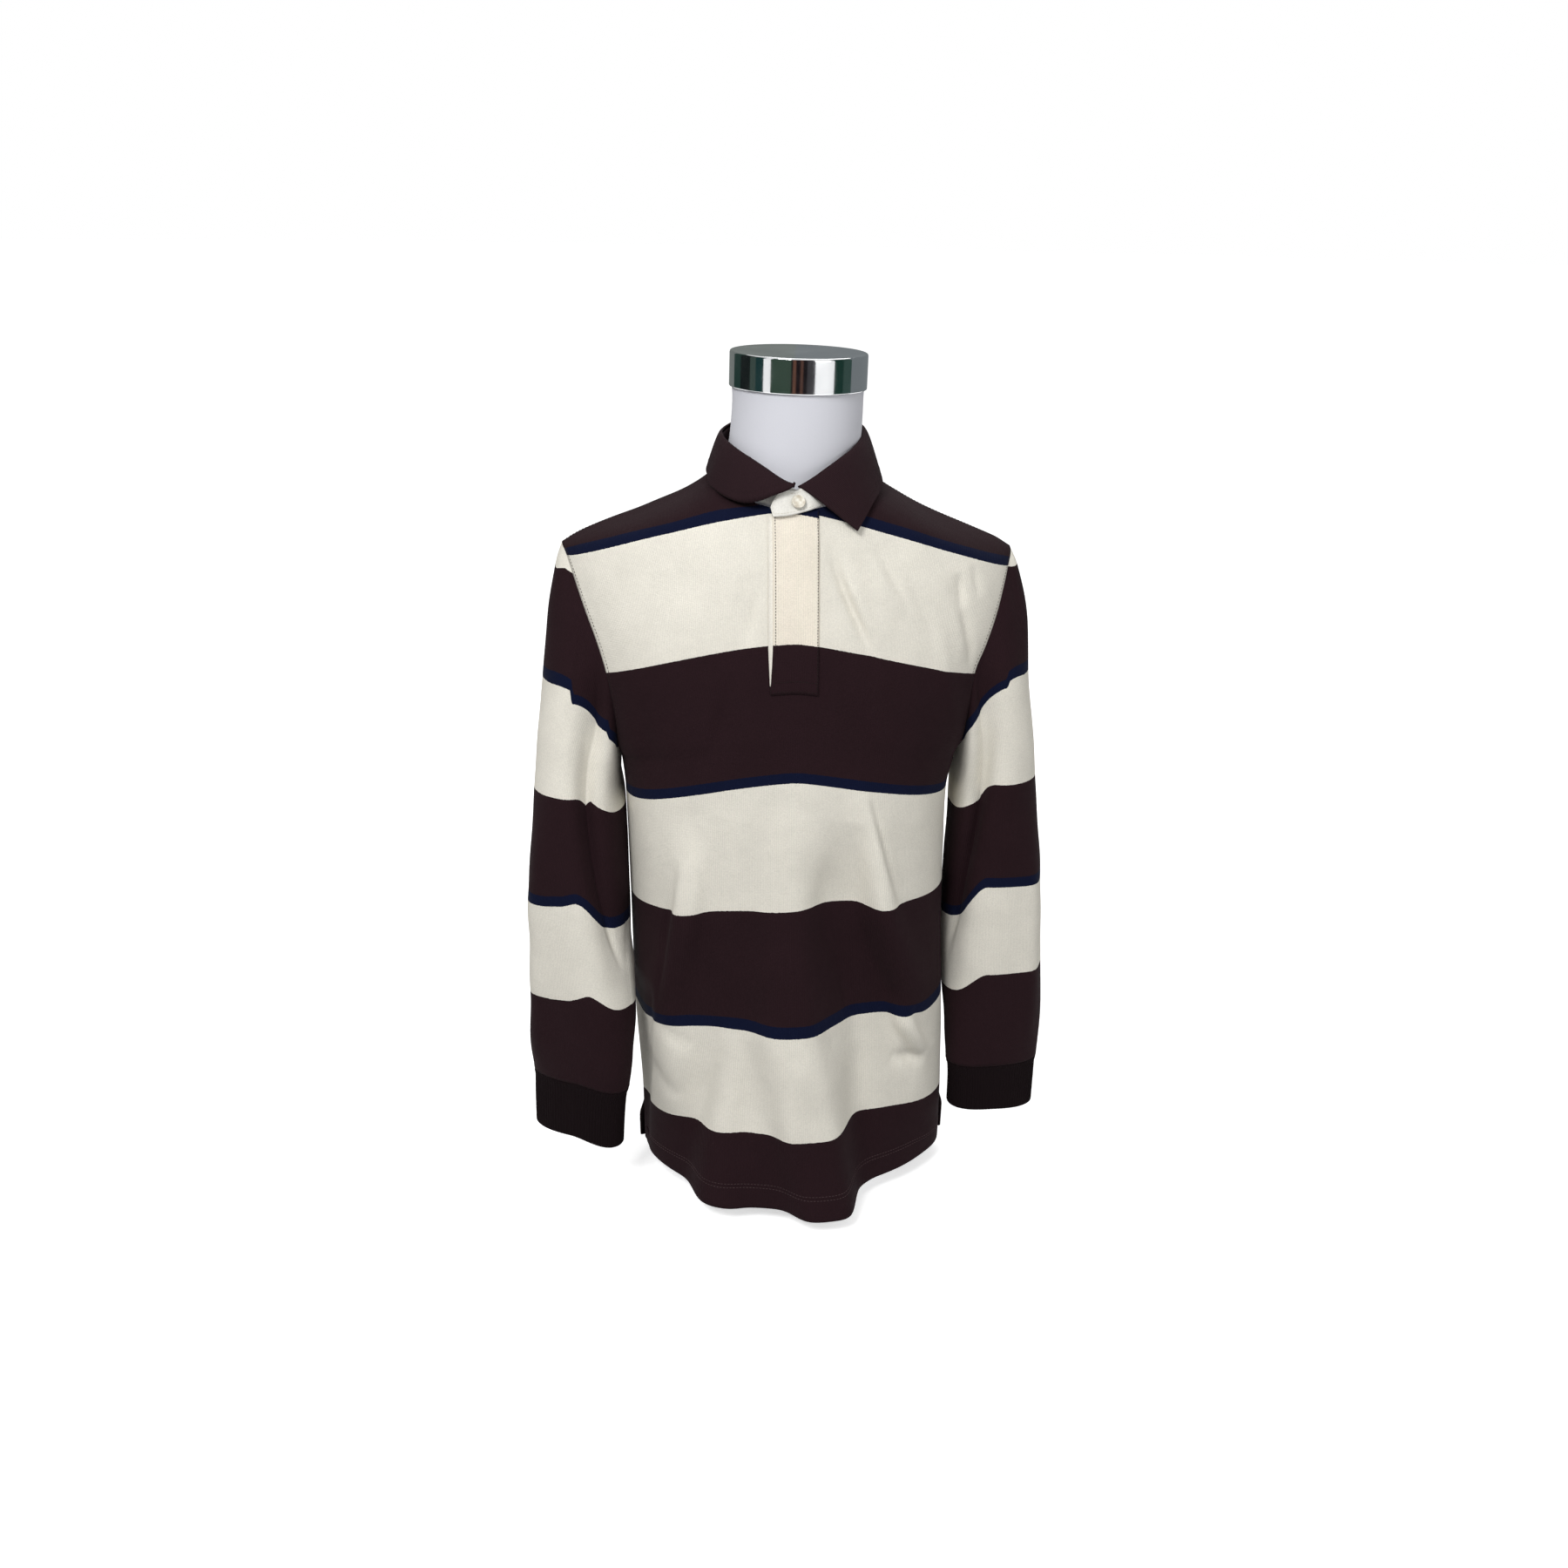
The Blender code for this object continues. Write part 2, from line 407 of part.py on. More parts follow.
def body_point(side, s, v=None, top_share=None):
    """A panel point below the chest line, or on the cap above it that ends at the top edge."""
    rows, folds, creases = (
        (FRONT_ROWS, FRONT_FOLDS, FRONT_CREASES) if side < 0 else (BACK_ROWS, BACK_FOLDS, BACK_CREASES)
    )
    if top_share is None:
        return body_row(rows, folds, creases, s, v)
    start = body_row(rows, folds, creases, s, CHEST_LINE_V)
    below = body_row(rows, folds, creases, s, CHEST_LINE_V - 8.0)
    end, v_end, arrive = top_edge(side, s)
    length = (v_end - CHEST_LINE_V)[..., None]
    leave = (start - below) / 8.0 * length
    t = top_share
    return (
        (1 + 2 * t) * (1 - t) ** 2 * start
        + t * (1 - t) ** 2 * leave
        + t * t * (3 - 2 * t) * end
        + t * t * (t - 1) * arrive * length
    )


def panel_shares():
    neck = np.linspace(0, NECK_SHARE, NECK_STEPS // 2 + 1)
    rest = np.linspace(NECK_SHARE, 1, SHOULDER_STEPS + 1)[1:]
    half = np.concatenate([neck[1:], rest])
    return np.concatenate([-half[::-1], [-SLIT_HALF, SLIT_HALF], half])


def panel_grid(side):
    s = panel_shares()
    levels = LOWER_LEVELS + ARMHOLE_LEVELS
    grid = [body_point(side, s, v=np.full(len(s), float(v))) for v in levels]
    grid += [body_point(side, s, top_share=t) for t in TOP_SHARES]
    return np.array(grid)


def grid_faces(rows, cols, closed=False, keep=None):
    faces = []
    for i in range(rows - 1):
        for j in range(cols if closed else cols - 1):
            if keep is None or keep(i, j):
                k = (j + 1) % cols
                faces.append((i * cols + j, i * cols + k, (i + 1) * cols + k, (i + 1) * cols + j))
    return faces


def material(name, colour, metallic, roughness):
    mat = bpy.data.materials.new(name)
    mat.use_nodes = True
    shader = mat.node_tree.nodes["Principled BSDF"]
    shader.inputs["Base Color"].default_value = (*colour, 1.0)
    shader.inputs["Metallic"].default_value = metallic
    shader.inputs["Roughness"].default_value = roughness
    return mat


def add_object(collection, name, points, faces, mat, wall=None):
    flat = np.asarray(points, float).reshape(-1, 3) * MM
    used = sorted({i for face in faces for i in face})
    number = {old: new for new, old in enumerate(used)}
    mesh = bpy.data.meshes.new(name)
    mesh.from_pydata(flat[used].tolist(), [], [tuple(number[i] for i in face) for face in faces])
    mesh.validate()
    mesh.update()
    mesh.materials.append(mat)
    obj = bpy.data.objects.new(name, mesh)
    collection.objects.link(obj)
    if wall:
        solid = obj.modifiers.new("wall", "SOLIDIFY")
        solid.thickness = wall * MM
        solid.offset = 0.0
        solid.use_even_offset = True
        solid.use_rim = True
    return obj


def body_panel(collection, name, side, mat):
    grid = panel_grid(side)
    rows, cols = grid.shape[:2]
    slit = cols // 2 - 1
    levels = LOWER_LEVELS + ARMHOLE_LEVELS

    def keep(i, j):
        open_here = side < 0 and j == slit and (i >= len(levels) or levels[i] >= SLIT_FOOT_V)
        return not open_here

    faces = grid_faces(rows, cols, keep=keep)
    if side < 0:
        faces = [tuple(reversed(face)) for face in faces]
    return add_object(collection, name, grid, faces, mat, WALL)


def armhole_ring(hand):
    """Armhole points from the underarm up the front to the tip and down the back."""
    s = np.array([float(hand)])
    levels = (UNDERARM_V,) + ARMHOLE_LEVELS

    def climb(side):
        pts = [body_point(side, s, v=np.array([v]))[0] for v in levels]
        return pts + [body_point(side, s, top_share=t)[0] for t in TOP_SHARES]

    front, back = climb(-1), climb(1)
    tip = (front[-1] + back[-1]) / 2
    base = (front[0] + back[0]) / 2
    return np.array([base] + front[1:-1] + [tip] + back[-2:0:-1])


def seam_start(hand, ring, nextrow):
    """First sleeve row: beside the armhole edge, clear of the panel wall however sharply it turns."""
    s = np.array([BESIDE_EDGE * hand])
    levels = (UNDERARM_V,) + ARMHOLE_LEVELS

    def inner(side):
        pts = [body_point(side, s, v=np.array([v]))[0] for v in levels]
        return pts + [body_point(side, s, top_share=t)[0] for t in TOP_SHARES]

    front, back = inner(-1), inner(1)
    low, high = ring[0] - [0, 0, UNDERARM_DROP], (front[-1] + back[-1]) / 2
    beside = np.array([low] + front[1:-1] + [high] + back[-2:0:-1])
    along = np.roll(ring, -1, axis=0) - np.roll(ring, 1, axis=0)
    along /= np.linalg.norm(along, axis=1, keepdims=True)

    def across(vector):
        vector = vector - along * (vector * along).sum(axis=1, keepdims=True)
        return vector / np.linalg.norm(vector, axis=1, keepdims=True)

    out, leave = across(ring - beside), across(nextrow - ring)
    cosine = np.clip((out * leave).sum(axis=1, keepdims=True), -1, 1)
    sine = np.sqrt(1 - cosine**2)
    bend = (leave - out * cosine) / np.maximum(sine, 1e-6)
    return ring + out * (SLEEVE_GAP + WALL / 2 * sine) + bend * (WALL + SLEEVE_GAP) / 2 * (1 - cosine)


def sleeve_tube(rows, grooves, hand, angle, v):
    """Point of the endless sleeve tube; angle 0 is the side against the body, 90 the front."""
    angle, v = np.broadcast_arrays(np.asarray(angle, float), np.asarray(v, float))
    col = {name: read(rows, SLEEVE_COLUMNS, name, v) for name in SLEEVE_COLUMNS[1:]}
    c, s = np.cos(angle), np.sin(angle)
    out = np.zeros_like(c)
    for line in grooves:
        middle, half, depth = (read(line, GROOVE_COLUMNS, name, v) for name in GROOVE_COLUMNS[1:])
        away = (np.degrees(angle) - middle + 180) % 360 - 180
        out += depth * np.exp(-((away / half) ** 2))
    square = 2 / 2.2
    flat_x = (col["half_x"] + out) * np.sign(c) * np.abs(c) ** square
    flat_y = -(col["half_y"] + out) * np.sign(s) * np.abs(s) ** square
    turn = np.radians(col["turn"])
    dx = flat_x * np.cos(turn) + flat_y * np.sin(turn)
    dy = -flat_x * np.sin(turn) + flat_y * np.cos(turn)
    fall = smooth((c - col["from_cos"]) / (1.0 - col["from_cos"]))
    return np.stack([col["x_c"] - hand * dx, col["y_c"] + dy, col["z"] - col["drop"] * fall], -1)


def sleeve_grid(hand):
    rows, grooves = (
        (LEFT_SLEEVE_ROWS, LEFT_GROOVES) if hand > 0 else (RIGHT_SLEEVE_ROWS, RIGHT_GROOVES)
    )
    ring = armhole_ring(hand)
    count = len(ring)
    angle = np.linspace(0, 2 * pi, count, endpoint=False)
    v_ring = SLEEVE_UNDERARM_V + (CAP_TOP_V - SLEEVE_UNDERARM_V) * np.sin(angle / 2) ** 2
    at_ring = sleeve_tube(rows, grooves, hand, angle, v_ring)
    grid = []
    for share in SLEEVE_SHARES:
        v = v_ring * (1 - share)
        hold = 1 - smooth((v_ring - v) / CAP_BLEND)
        grid.append(sleeve_tube(rows, grooves, hand, angle, v) + (ring - at_ring) * hold[:, None])
    grid = np.array(grid)
    grid[0] = seam_start(hand, ring, grid[1])
    return grid


def cuff_grid(hand, sleeve):
    rows = LEFT_CUFF_ROWS if hand > 0 else RIGHT_CUFF_ROWS
    end = sleeve[-1]
    centre = end.mean(axis=0)
    spoke = end - centre
    spoke[:, 2] = 0
    radius = np.linalg.norm(spoke, axis=1, keepdims=True)
    grid = []
    for _, shift, shrink, down, tilt in rows:
        ring = end - spoke / radius * shrink
        ring[:, 0] += shift
        ring[:, 2] -= down + tilt * (centre[0] - end[:, 0]) * hand / CUFF_HALF
        grid.append(ring)
    return np.array(grid)


def neck_ring(turn):
    """Neck seam; turn 0 at the centre front, 90 degrees at the wearer's right neck point."""
    turn = np.radians(np.asarray(turn, float))
    c = np.cos(turn)
    front = c > 0
    x = -NECK_POINT_X * np.sin(turn) + np.where(front, NECK_CENTRE_X * c, 0.0)
    y = SEAM_Y + np.where(front, (NECK_FRONT_Y - SEAM_Y) * c, -(NECK_BACK_Y - SEAM_Y) * c)
    rise = np.abs(c)
    z = np.where(
        front,
        NECK_POINT_Z + (NECK_FRONT_Z - NECK_POINT_Z) * rise**1.3,
        NECK_POINT_Z + (NECK_BACK_Z - NECK_POINT_Z) * rise,
    )
    return np.stack([x, y, z], -1)


def stand_frame(turn):
    """Foot point, outward and upward directions and height of the collar stand."""
    foot = neck_ring(turn)
    ahead = neck_ring(np.asarray(turn) + 0.5) - neck_ring(np.asarray(turn) - 0.5)
    ahead /= np.linalg.norm(ahead, axis=-1, keepdims=True)
    out = np.stack([-ahead[..., 1], ahead[..., 0], np.zeros(ahead.shape[:-1])], -1)
    out /= np.linalg.norm(out, axis=-1, keepdims=True)
    inward = STAND_LEAN * (1 + np.cos(np.radians(turn)) ** 2)
    up = np.stack([-out[..., 0] * inward, -out[..., 1] * inward, np.ones_like(out[..., 0])], -1)
    up /= np.linalg.norm(up, axis=-1, keepdims=True)
    from_front = np.abs((np.asarray(turn) + 180.0) % 360.0 - 180.0)
    height = read(STAND_HEIGHTS, STAND_COLUMNS, "height", from_front)
    height = height - STAND_SLUMP * np.exp(-(((np.asarray(turn) - SLUMP_TURN) / SLUMP_HALF) ** 2))
    return foot, out, up, height


def collar_stand(collection, mat):
    turn = np.linspace(STAND_START, STAND_END, STAND_STEPS + 1)
    turn = np.concatenate([turn[:-1], np.linspace(turn[-2], STAND_END, 5)[1:]])
    foot, out, up, height = stand_frame(turn)
    along = (STAND_END - turn) * MM_A_DEGREE
    height = height * np.sqrt(np.clip(1 - np.clip(1 - along / TAB_ROUND, 0, 1) ** 2, 0.06, 1))
    height = height - TAB_DROP * np.clip((turn - TAB_START) / (STAND_END - TAB_START), 0, 1)
    spiral = SPIRAL_START + SPIRAL_GROWTH * (turn - STAND_START) / (STAND_END - STAND_START)
    base = foot + out * (spiral[:, None] - STAND_INSET)
    shares = np.linspace(0, 1, STAND_ROWS)
    grid = np.array([base + up * (STAND_LIFT + height * share)[:, None] for share in shares])
    return add_object(collection, "collar_stand", grid, grid_faces(*grid.shape[:2]), mat, STAND_WALL)


def collar_fall(collection, mat):
    turn = np.linspace(FALL_ROWS[0][0], FALL_ROWS[-1][0], FALL_STEPS + 1)
    foot, out, up, height = stand_frame(turn)
    start = foot + up * (height + FALL_LIFT)[:, None] - out * FALL_INSET
    edge = np.stack([read(FALL_ROWS, FALL_COLUMNS, name, turn) for name in ("x", "y", "z")], -1)
    roll, crown, swell = (
        read(FALL_ROWS, FALL_COLUMNS, name, turn)[:, None] for name in ("roll", "crown", "swell")
    )
    first = start + up * FALL_RISE + out * crown
    second = (edge + start) * 0.5 + up * FALL_SHOULDER + out * swell
    grid = []
    for t in np.linspace(0, 1, FALL_ROWS_ACROSS):
        over = (1 - t) ** 3 * start + 3 * t * (1 - t) ** 2 * first
        grid.append(over + 3 * t * t * (1 - t) * second + t**3 * edge)
    down = (grid[-1] - grid[-3]) / np.linalg.norm(grid[-1] - grid[-3], axis=1, keepdims=True)
    for step, angle in enumerate(ROLL_ANGLES):
        bend = radians(angle)
        turn_in = down * sin(bend) - out * (1 - cos(bend))
        reach = ROLL_SIZE * turn_in - out * ROLL_IN * step
        grid.append(edge + reach * roll + down * (ROLL_STEP * (step + 1) * (1 - roll)))
    grid = np.array(grid)
    return add_object(collection, "collar_fall", grid, grid_faces(*grid.shape[:2]), mat, FALL_WALL)


def front_at(s, v, top_share):
    """Front panel point below the chest line, or above it where top_share is over 0."""
    if top_share > 0:
        depth = top_edge(-1, s)[1] - CHEST_LINE_V
        return body_point(-1, s, top_share=(top_share * (1 - NECKLINE_INSET / depth))[:, None])
    return body_point(-1, s, v=np.full(len(s), float(v)))


def front_band(u_left, u_right, out, levels, steps):
    """Straight strip on the front panel between two widths, moved out from its points."""
    grid = []
    for v, top_share in levels:
        u_a = u_left(v) if callable(u_left) else u_left
        goal = NECK_CENTRE_X + np.linspace(u_a, u_right, steps + 1) * PLACKET_SPREAD
        s = (goal - NECK_CENTRE_X) / FRONT_HALF
        for _ in range(4):
            s = s + (goal - front_at(s, v, top_share)[:, 0]) / FRONT_HALF * 0.8
        here = front_at(s, v, top_share)
        across = front_at(s + 0.004, v, top_share) - front_at(s - 0.004, v, top_share)
        rise = here - (front_at(s, v - 3, 0) if top_share == 0 else front_at(s, CHEST_LINE_V, 0))
        normal = np.cross(across, rise)
        normal /= np.linalg.norm(normal, axis=1, keepdims=True)
        grid.append(here + normal * out)
    return np.array(grid)


def placket(collection, mat, facing_mat):
    levels = [(v, 0.0) for v in PLACKET_LEVELS] + [(CHEST_LINE_V, 0.5), (CHEST_LINE_V, 1.0)]
    band = front_band(*PLACKET_U, PLACKET_OUT, levels, BAND_STEPS)
    faces = [tuple(reversed(face)) for face in grid_faces(*band.shape[:2])]
    add_object(collection, "placket", band, faces, mat, WALL)

    def left_edge(v):
        share = smooth((v - PLACKET_LEVELS[0]) / FACING_WIDENS)
        return FACING_U_FOOT + (FACING_U_TOP - FACING_U_FOOT) * share

    right_edge = PLACKET_U[1] - FACING_INSET
    under = front_band(left_edge, right_edge, FACING_OUT, levels[1:-2], BAND_STEPS)
    faces = [tuple(reversed(face)) for face in grid_faces(*under.shape[:2])]
    add_object(collection, "placket_facing", under, faces, facing_mat, FACING_WALL)


def lathe(profile, steps):
    """Closed surface of revolution; the first and last profile points are on the axis."""
    points = [(0.0, 0.0, profile[0][1])]
    for radius, z in profile[1:-1]:
        points += [
            (radius * cos(2 * pi * k / steps), radius * sin(2 * pi * k / steps), z) for k in range(steps)
        ]
    points.append((0.0, 0.0, profile[-1][1]))
    rings, last = len(profile) - 2, len(points) - 1
    faces = [(0, 1 + (k + 1) % steps, 1 + k) for k in range(steps)]
    for i in range(rings - 1):
        a, b = 1 + i * steps, 1 + (i + 1) * steps
        faces += [(a + k, a + (k + 1) % steps, b + (k + 1) % steps, b + k) for k in range(steps)]
    tail = 1 + (rings - 1) * steps
    faces += [(tail + k, tail + (k + 1) % steps, last) for k in range(steps)]
    return np.array(points), faces


def button(collection, mat):
    points, faces = lathe(BUTTON_PROFILE[::-1], BUTTON_STEPS)
    foot, out, up, height = stand_frame(np.array([BUTTON_TURN]))
    side = np.cross(up[0], out[0])
    face = np.cross(side, up[0])
    centre = foot[0] + up[0] * (STAND_LIFT + height[0] * BUTTON_SHARE) + out[0] * BUTTON_OUT
    placed = centre + points[:, :1] * side + points[:, 1:2] * up[0] + points[:, 2:] * face
    return add_object(collection, "button", placed, faces, mat)


def form_torso(collection, mat):
    angle = np.linspace(0, 2 * pi, FORM_STEPS, endpoint=False)
    c, s = np.cos(angle), np.sin(angle)
    grid = []
    for x_mid, x_side, y_side, z_side, y_front, z_front, y_back, z_back, full, climb in FORM_RINGS:
        power = 2 / full
        x = x_mid + x_side * np.sign(s) * np.abs(s) ** power
        reach = np.where(c > 0, y_front - y_side, y_side - y_back) * np.sign(c) * np.abs(c) ** power
        rise = np.where(c > 0, z_front - z_side, z_back - z_side) * np.abs(c) ** climb
        tilt = FORM_TILT * (x - TILT_CENTRE_X) * smooth((z_side - TILT_FROM) / TILT_OVER)
        grid.append(np.stack([x, y_side + reach, z_side + rise - tilt], -1))
    grid = np.array(grid)
    rings = len(grid)
    flat = grid.reshape(-1, 3)
    bottom, top = grid[0].mean(axis=0), grid[-1].mean(axis=0)
    points = np.concatenate([flat, [bottom, top]])
    faces = grid_faces(rings, FORM_STEPS, closed=True)
    first, last = rings * FORM_STEPS, rings * FORM_STEPS + 1
    for k in range(FORM_STEPS):
        n = (k + 1) % FORM_STEPS
        faces.append((n, k, first))
        faces.append(((rings - 1) * FORM_STEPS + k, (rings - 1) * FORM_STEPS + n, last))
    return add_object(collection, "form_torso", points, faces, mat)


def form_cap(collection, mat):
    points, faces = lathe(CAP_PROFILE, CAP_STEPS)
    lean_y, lean_x = radians(CAP_LEAN_Y), radians(CAP_LEAN_X)
    z = points[:, 2] - CAP_PIVOT_Z
    x = points[:, 0] * cos(lean_y) + z * sin(lean_y)
    z = -points[:, 0] * sin(lean_y) + z * cos(lean_y)
    y = points[:, 1] * cos(lean_x) - z * sin(lean_x)
    z = points[:, 1] * sin(lean_x) + z * cos(lean_x)
    placed = np.stack([x + CAP_CENTRE[0], y + CAP_CENTRE[1], z + CAP_PIVOT_Z + CAP_LIFT], -1)
    return add_object(collection, "form_cap", placed, faces, mat)


def build():
    for obj in list(bpy.data.objects):
        bpy.data.objects.remove(obj, do_unlink=True)
    collection = bpy.data.collections.new("rugby_polo_on_form")
    bpy.context.scene.collection.children.link(collection)

    body_panel(collection, "front", -1, material("front_jersey", CLOTH_CREAM, 0.0, 0.9))
    body_panel(collection, "back", 1, material("back_jersey", CLOTH_CREAM, 0.0, 0.9))
    for hand, name in ((-1, "right"), (1, "left")):
        sleeve = sleeve_grid(hand)
        faces = grid_faces(*sleeve.shape[:2], closed=True)
        mat = material(f"sleeve_{name}_jersey", CLOTH_DARK, 0.0, 0.9)
        add_object(collection, f"sleeve_{name}", sleeve, faces, mat, WALL)
        cuff = cuff_grid(hand, sleeve)
        faces = grid_faces(*cuff.shape[:2], closed=True)
        mat = material(f"cuff_{name}_rib", CLOTH_DARK, 0.0, 0.95)
        add_object(collection, f"cuff_{name}", cuff, faces, mat, CUFF_WALL)
    collar_stand(collection, material("stand_twill", CLOTH_CREAM, 0.0, 0.85))
    collar_fall(collection, material("collar_jersey", CLOTH_DARK, 0.0, 0.9))
    facing = material("facing_tape", CLOTH_CREAM, 0.0, 0.8)
    placket(collection, material("placket_jersey", CLOTH_CREAM, 0.0, 0.9), facing)
    button(collection, material("button_pearl", PEARL, 0.0, 0.25))
    form_torso(collection, material("form_cover", FORM_WHITE, 0.0, 0.8))
    form_cap(collection, material("cap_chrome", CHROME, 1.0, 0.08))


build()
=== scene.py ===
"""Looks of the long-sleeved rugby polo shirt on its dress form.

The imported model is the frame: metres, +Z up, front towards -Y. Tables and named sizes are in
millimetres unless they say otherwise. "right" and "left" are the wearer's.
"""

from math import cos, pi, radians, sin

import bpy
import numpy as np
from mathutils import Matrix, Vector


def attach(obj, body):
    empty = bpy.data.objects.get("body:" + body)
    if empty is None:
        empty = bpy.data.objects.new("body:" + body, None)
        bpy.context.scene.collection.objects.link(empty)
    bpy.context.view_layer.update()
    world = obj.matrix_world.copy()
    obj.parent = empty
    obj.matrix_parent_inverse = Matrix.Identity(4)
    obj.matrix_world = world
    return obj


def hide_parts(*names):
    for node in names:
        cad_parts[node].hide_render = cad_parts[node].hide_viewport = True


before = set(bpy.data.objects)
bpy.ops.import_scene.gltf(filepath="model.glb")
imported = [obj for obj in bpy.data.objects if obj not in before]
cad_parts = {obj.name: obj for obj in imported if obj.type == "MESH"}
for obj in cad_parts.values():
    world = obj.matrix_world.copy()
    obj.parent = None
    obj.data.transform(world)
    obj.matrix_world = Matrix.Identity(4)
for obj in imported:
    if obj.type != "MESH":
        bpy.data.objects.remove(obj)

MM = 0.001
SHOULDER_GAP = 0.80

# Flat heights above the hem, measured up the cloth at the front
UNDERARM_V = 488.0
CHEST_LINE_V = 696.0
FRONT_TIP_V, FRONT_NECK_POINT_V, FRONT_NECK_DEPTH = 733.0, 797.0, 96.5
BACK_TIP_V, BACK_NECK_POINT_V, BACK_NECK_DEPTH = 728.0, 799.0, 34.0
NECK_SHARE = 0.35

# Shoulder seam: share of the way from the neck point to the tip, and its height
NECK_POINT_X, NECK_POINT_Z, SEAM_Y = 69.0, 733.0, 5.0
RIGHT_TIP_X, LEFT_TIP_X = -212.0, 208.0
SHOULDER_COLUMNS = ("share", "z_right", "z_left")
SHOULDER = (
    (0.00, 732.0, 732.0),
    (0.10, 721.0, 721.0),
    (0.20, 713.0, 712.5),
    (0.35, 704.0, 701.0),
    (0.50, 695.0, 691.5),
    (0.65, 687.5, 683.0),
    (0.80, 679.0, 674.5),
    (0.90, 672.5, 668.5),
    (1.00, 664.0, 660.0),
)
NECK_CENTRE_X, NECK_FRONT_Y, NECK_FRONT_Z = -4.0, -92.5, 711.5
NECK_BACK_Y, NECK_BACK_Z = 64.0, 744.0
# How steeply the cloth arrives at the shoulder seam, and at the neckline on top of that
SEAM_RISE, NECK_RISE = 0.12, 1.1

# One row per level of cloth: wearer's right edge (x_r, z_r), middle (_m), left edge (x_l, z_l).
# The row is part of an oval whose side lies at y_side; "reach" is the share that the panel covers.
PANEL_COLUMNS = (
    "v", "x_r", "z_r", "x_l", "z_l", "x_m", "y_m", "z_m",
    "y_side", "reach", "full", "turn", "sag_r", "sag_l",
)
FRONT_ROWS = (
    (0.0, -143.5, 27, 169, 23, 10, -100, 17, 0, 1.0, 1.95, 1.0, 3.5, 2.0),
    (84.0, -144.5, 84, 168, 91, 6, -103, 99, 3, 1.0, 2.0, 1.0, 2.0, 2.0),
    (201.0, -151, 192, 163, 203, 2, -106, 214, 4, 1.0, 2.2, 1.0, 2.0, 2.0),
    (331.5, -154, 321, 157, 332, -1, -122, 344, 3, 1.0, 2.3, 1.0, 1.8, 1.7),
    (448.5, -157, 425, 155, 430, -3, -127, 468, 2, 1.0, 2.3, 1.0, 1.75, 1.4),
    (488.0, -161, 466, 162, 466, -4, -126, 508, 1, 1.0, 2.3, 1.0, 1.7, 1.4),
    (496.0, -163, 472, 163, 472, -4, -126, 515.5, 0, 0.99, 2.3, 0.95, 1.7, 1.4),
    (508.0, -164, 483, 164, 483, -4, -125.5, 527.5, 0, 0.967, 2.3, 0.85, 1.7, 1.38),
    (532.0, -165, 508, 165, 508, -4, -124, 551, 0, 0.937, 2.3, 0.65, 1.7, 1.35),
    (556.0, -168, 533, 166, 531, -4, -122, 575, 0, 0.915, 2.3, 0.5, 1.7, 1.33),
    (579.0, -172, 556, 168, 553, -4, -119, 598, 0, 0.904, 2.3, 0.35, 1.68, 1.3),
    (608.0, -180, 584, 178, 579, -4, -114.5, 626, 0, 0.908, 2.25, 0.2, 1.65, 1.27),
    (638.0, -190, 611, 188, 605, -4, -108, 655, 0, 0.926, 2.2, 0.1, 1.6, 1.25),
    (668.0, -199, 636, 196, 629, -4, -100.5, 684, 0, 0.955, 2.15, 0.0, 1.55, 1.2),
    (696.0, -206, 655, 202, 645, -4, -92.5, 708.5, 0, 0.982, 2.1, 0.0, 1.5, 1.2),
)
BACK_ROWS = (
    (0.0, -143.5, 22, 170, 22, 12, 104, 13, 13, 1.0, 1.9, 1.0, 2.0, 2.0),
    (84.0, -144.5, 84, 168, 91, 8, 104, 96, 4, 1.0, 2.1, 1.0, 2.0, 2.0),
    (201.0, -151, 192, 163, 203, 4, 108, 212, 5, 1.0, 2.2, 1.0, 2.0, 2.0),
    (331.5, -154, 321, 157, 332, 0, 117, 340, 4, 1.0, 2.3, 1.0, 1.8, 1.7),
    (448.5, -157, 425, 155, 430, -1, 124, 458, 3, 1.0, 2.3, 1.0, 1.6, 1.4),
    (488.0, -161, 466, 162, 466, -1, 126, 497, 2, 1.0, 2.3, 1.0, 1.6, 1.4),
    (496.0, -163, 472, 163, 472, -1, 126, 505, 2, 0.99, 2.3, 0.95, 1.6, 1.4),
    (508.0, -164, 483, 164, 483, -1, 126, 516, 2, 0.967, 2.3, 0.85, 1.5, 1.38),
    (532.0, -165, 508, 165, 508, -1, 125.5, 540, 2, 0.937, 2.3, 0.65, 1.4, 1.35),
    (556.0, -168, 533, 166, 531, -1, 124.5, 563, 2, 0.915, 2.3, 0.5, 1.35, 1.3),
    (579.0, -172, 556, 168, 553, -1, 123, 586, 2, 0.904, 2.3, 0.35, 1.3, 1.3),
    (608.0, -180, 584, 178, 579, -1, 120, 614, 3, 0.908, 2.25, 0.2, 1.3, 1.3),
    (638.0, -190, 611, 188, 605, -1, 115, 642, 4, 0.926, 2.2, 0.1, 1.3, 1.3),
    (668.0, -199, 636, 196, 629, -1, 107, 669, 5, 0.955, 2.15, 0.0, 1.3, 1.3),
    (696.0, -206, 655, 202, 645, -1, 97, 693, 6, 0.982, 2.1, 0.0, 1.3, 1.3),
)

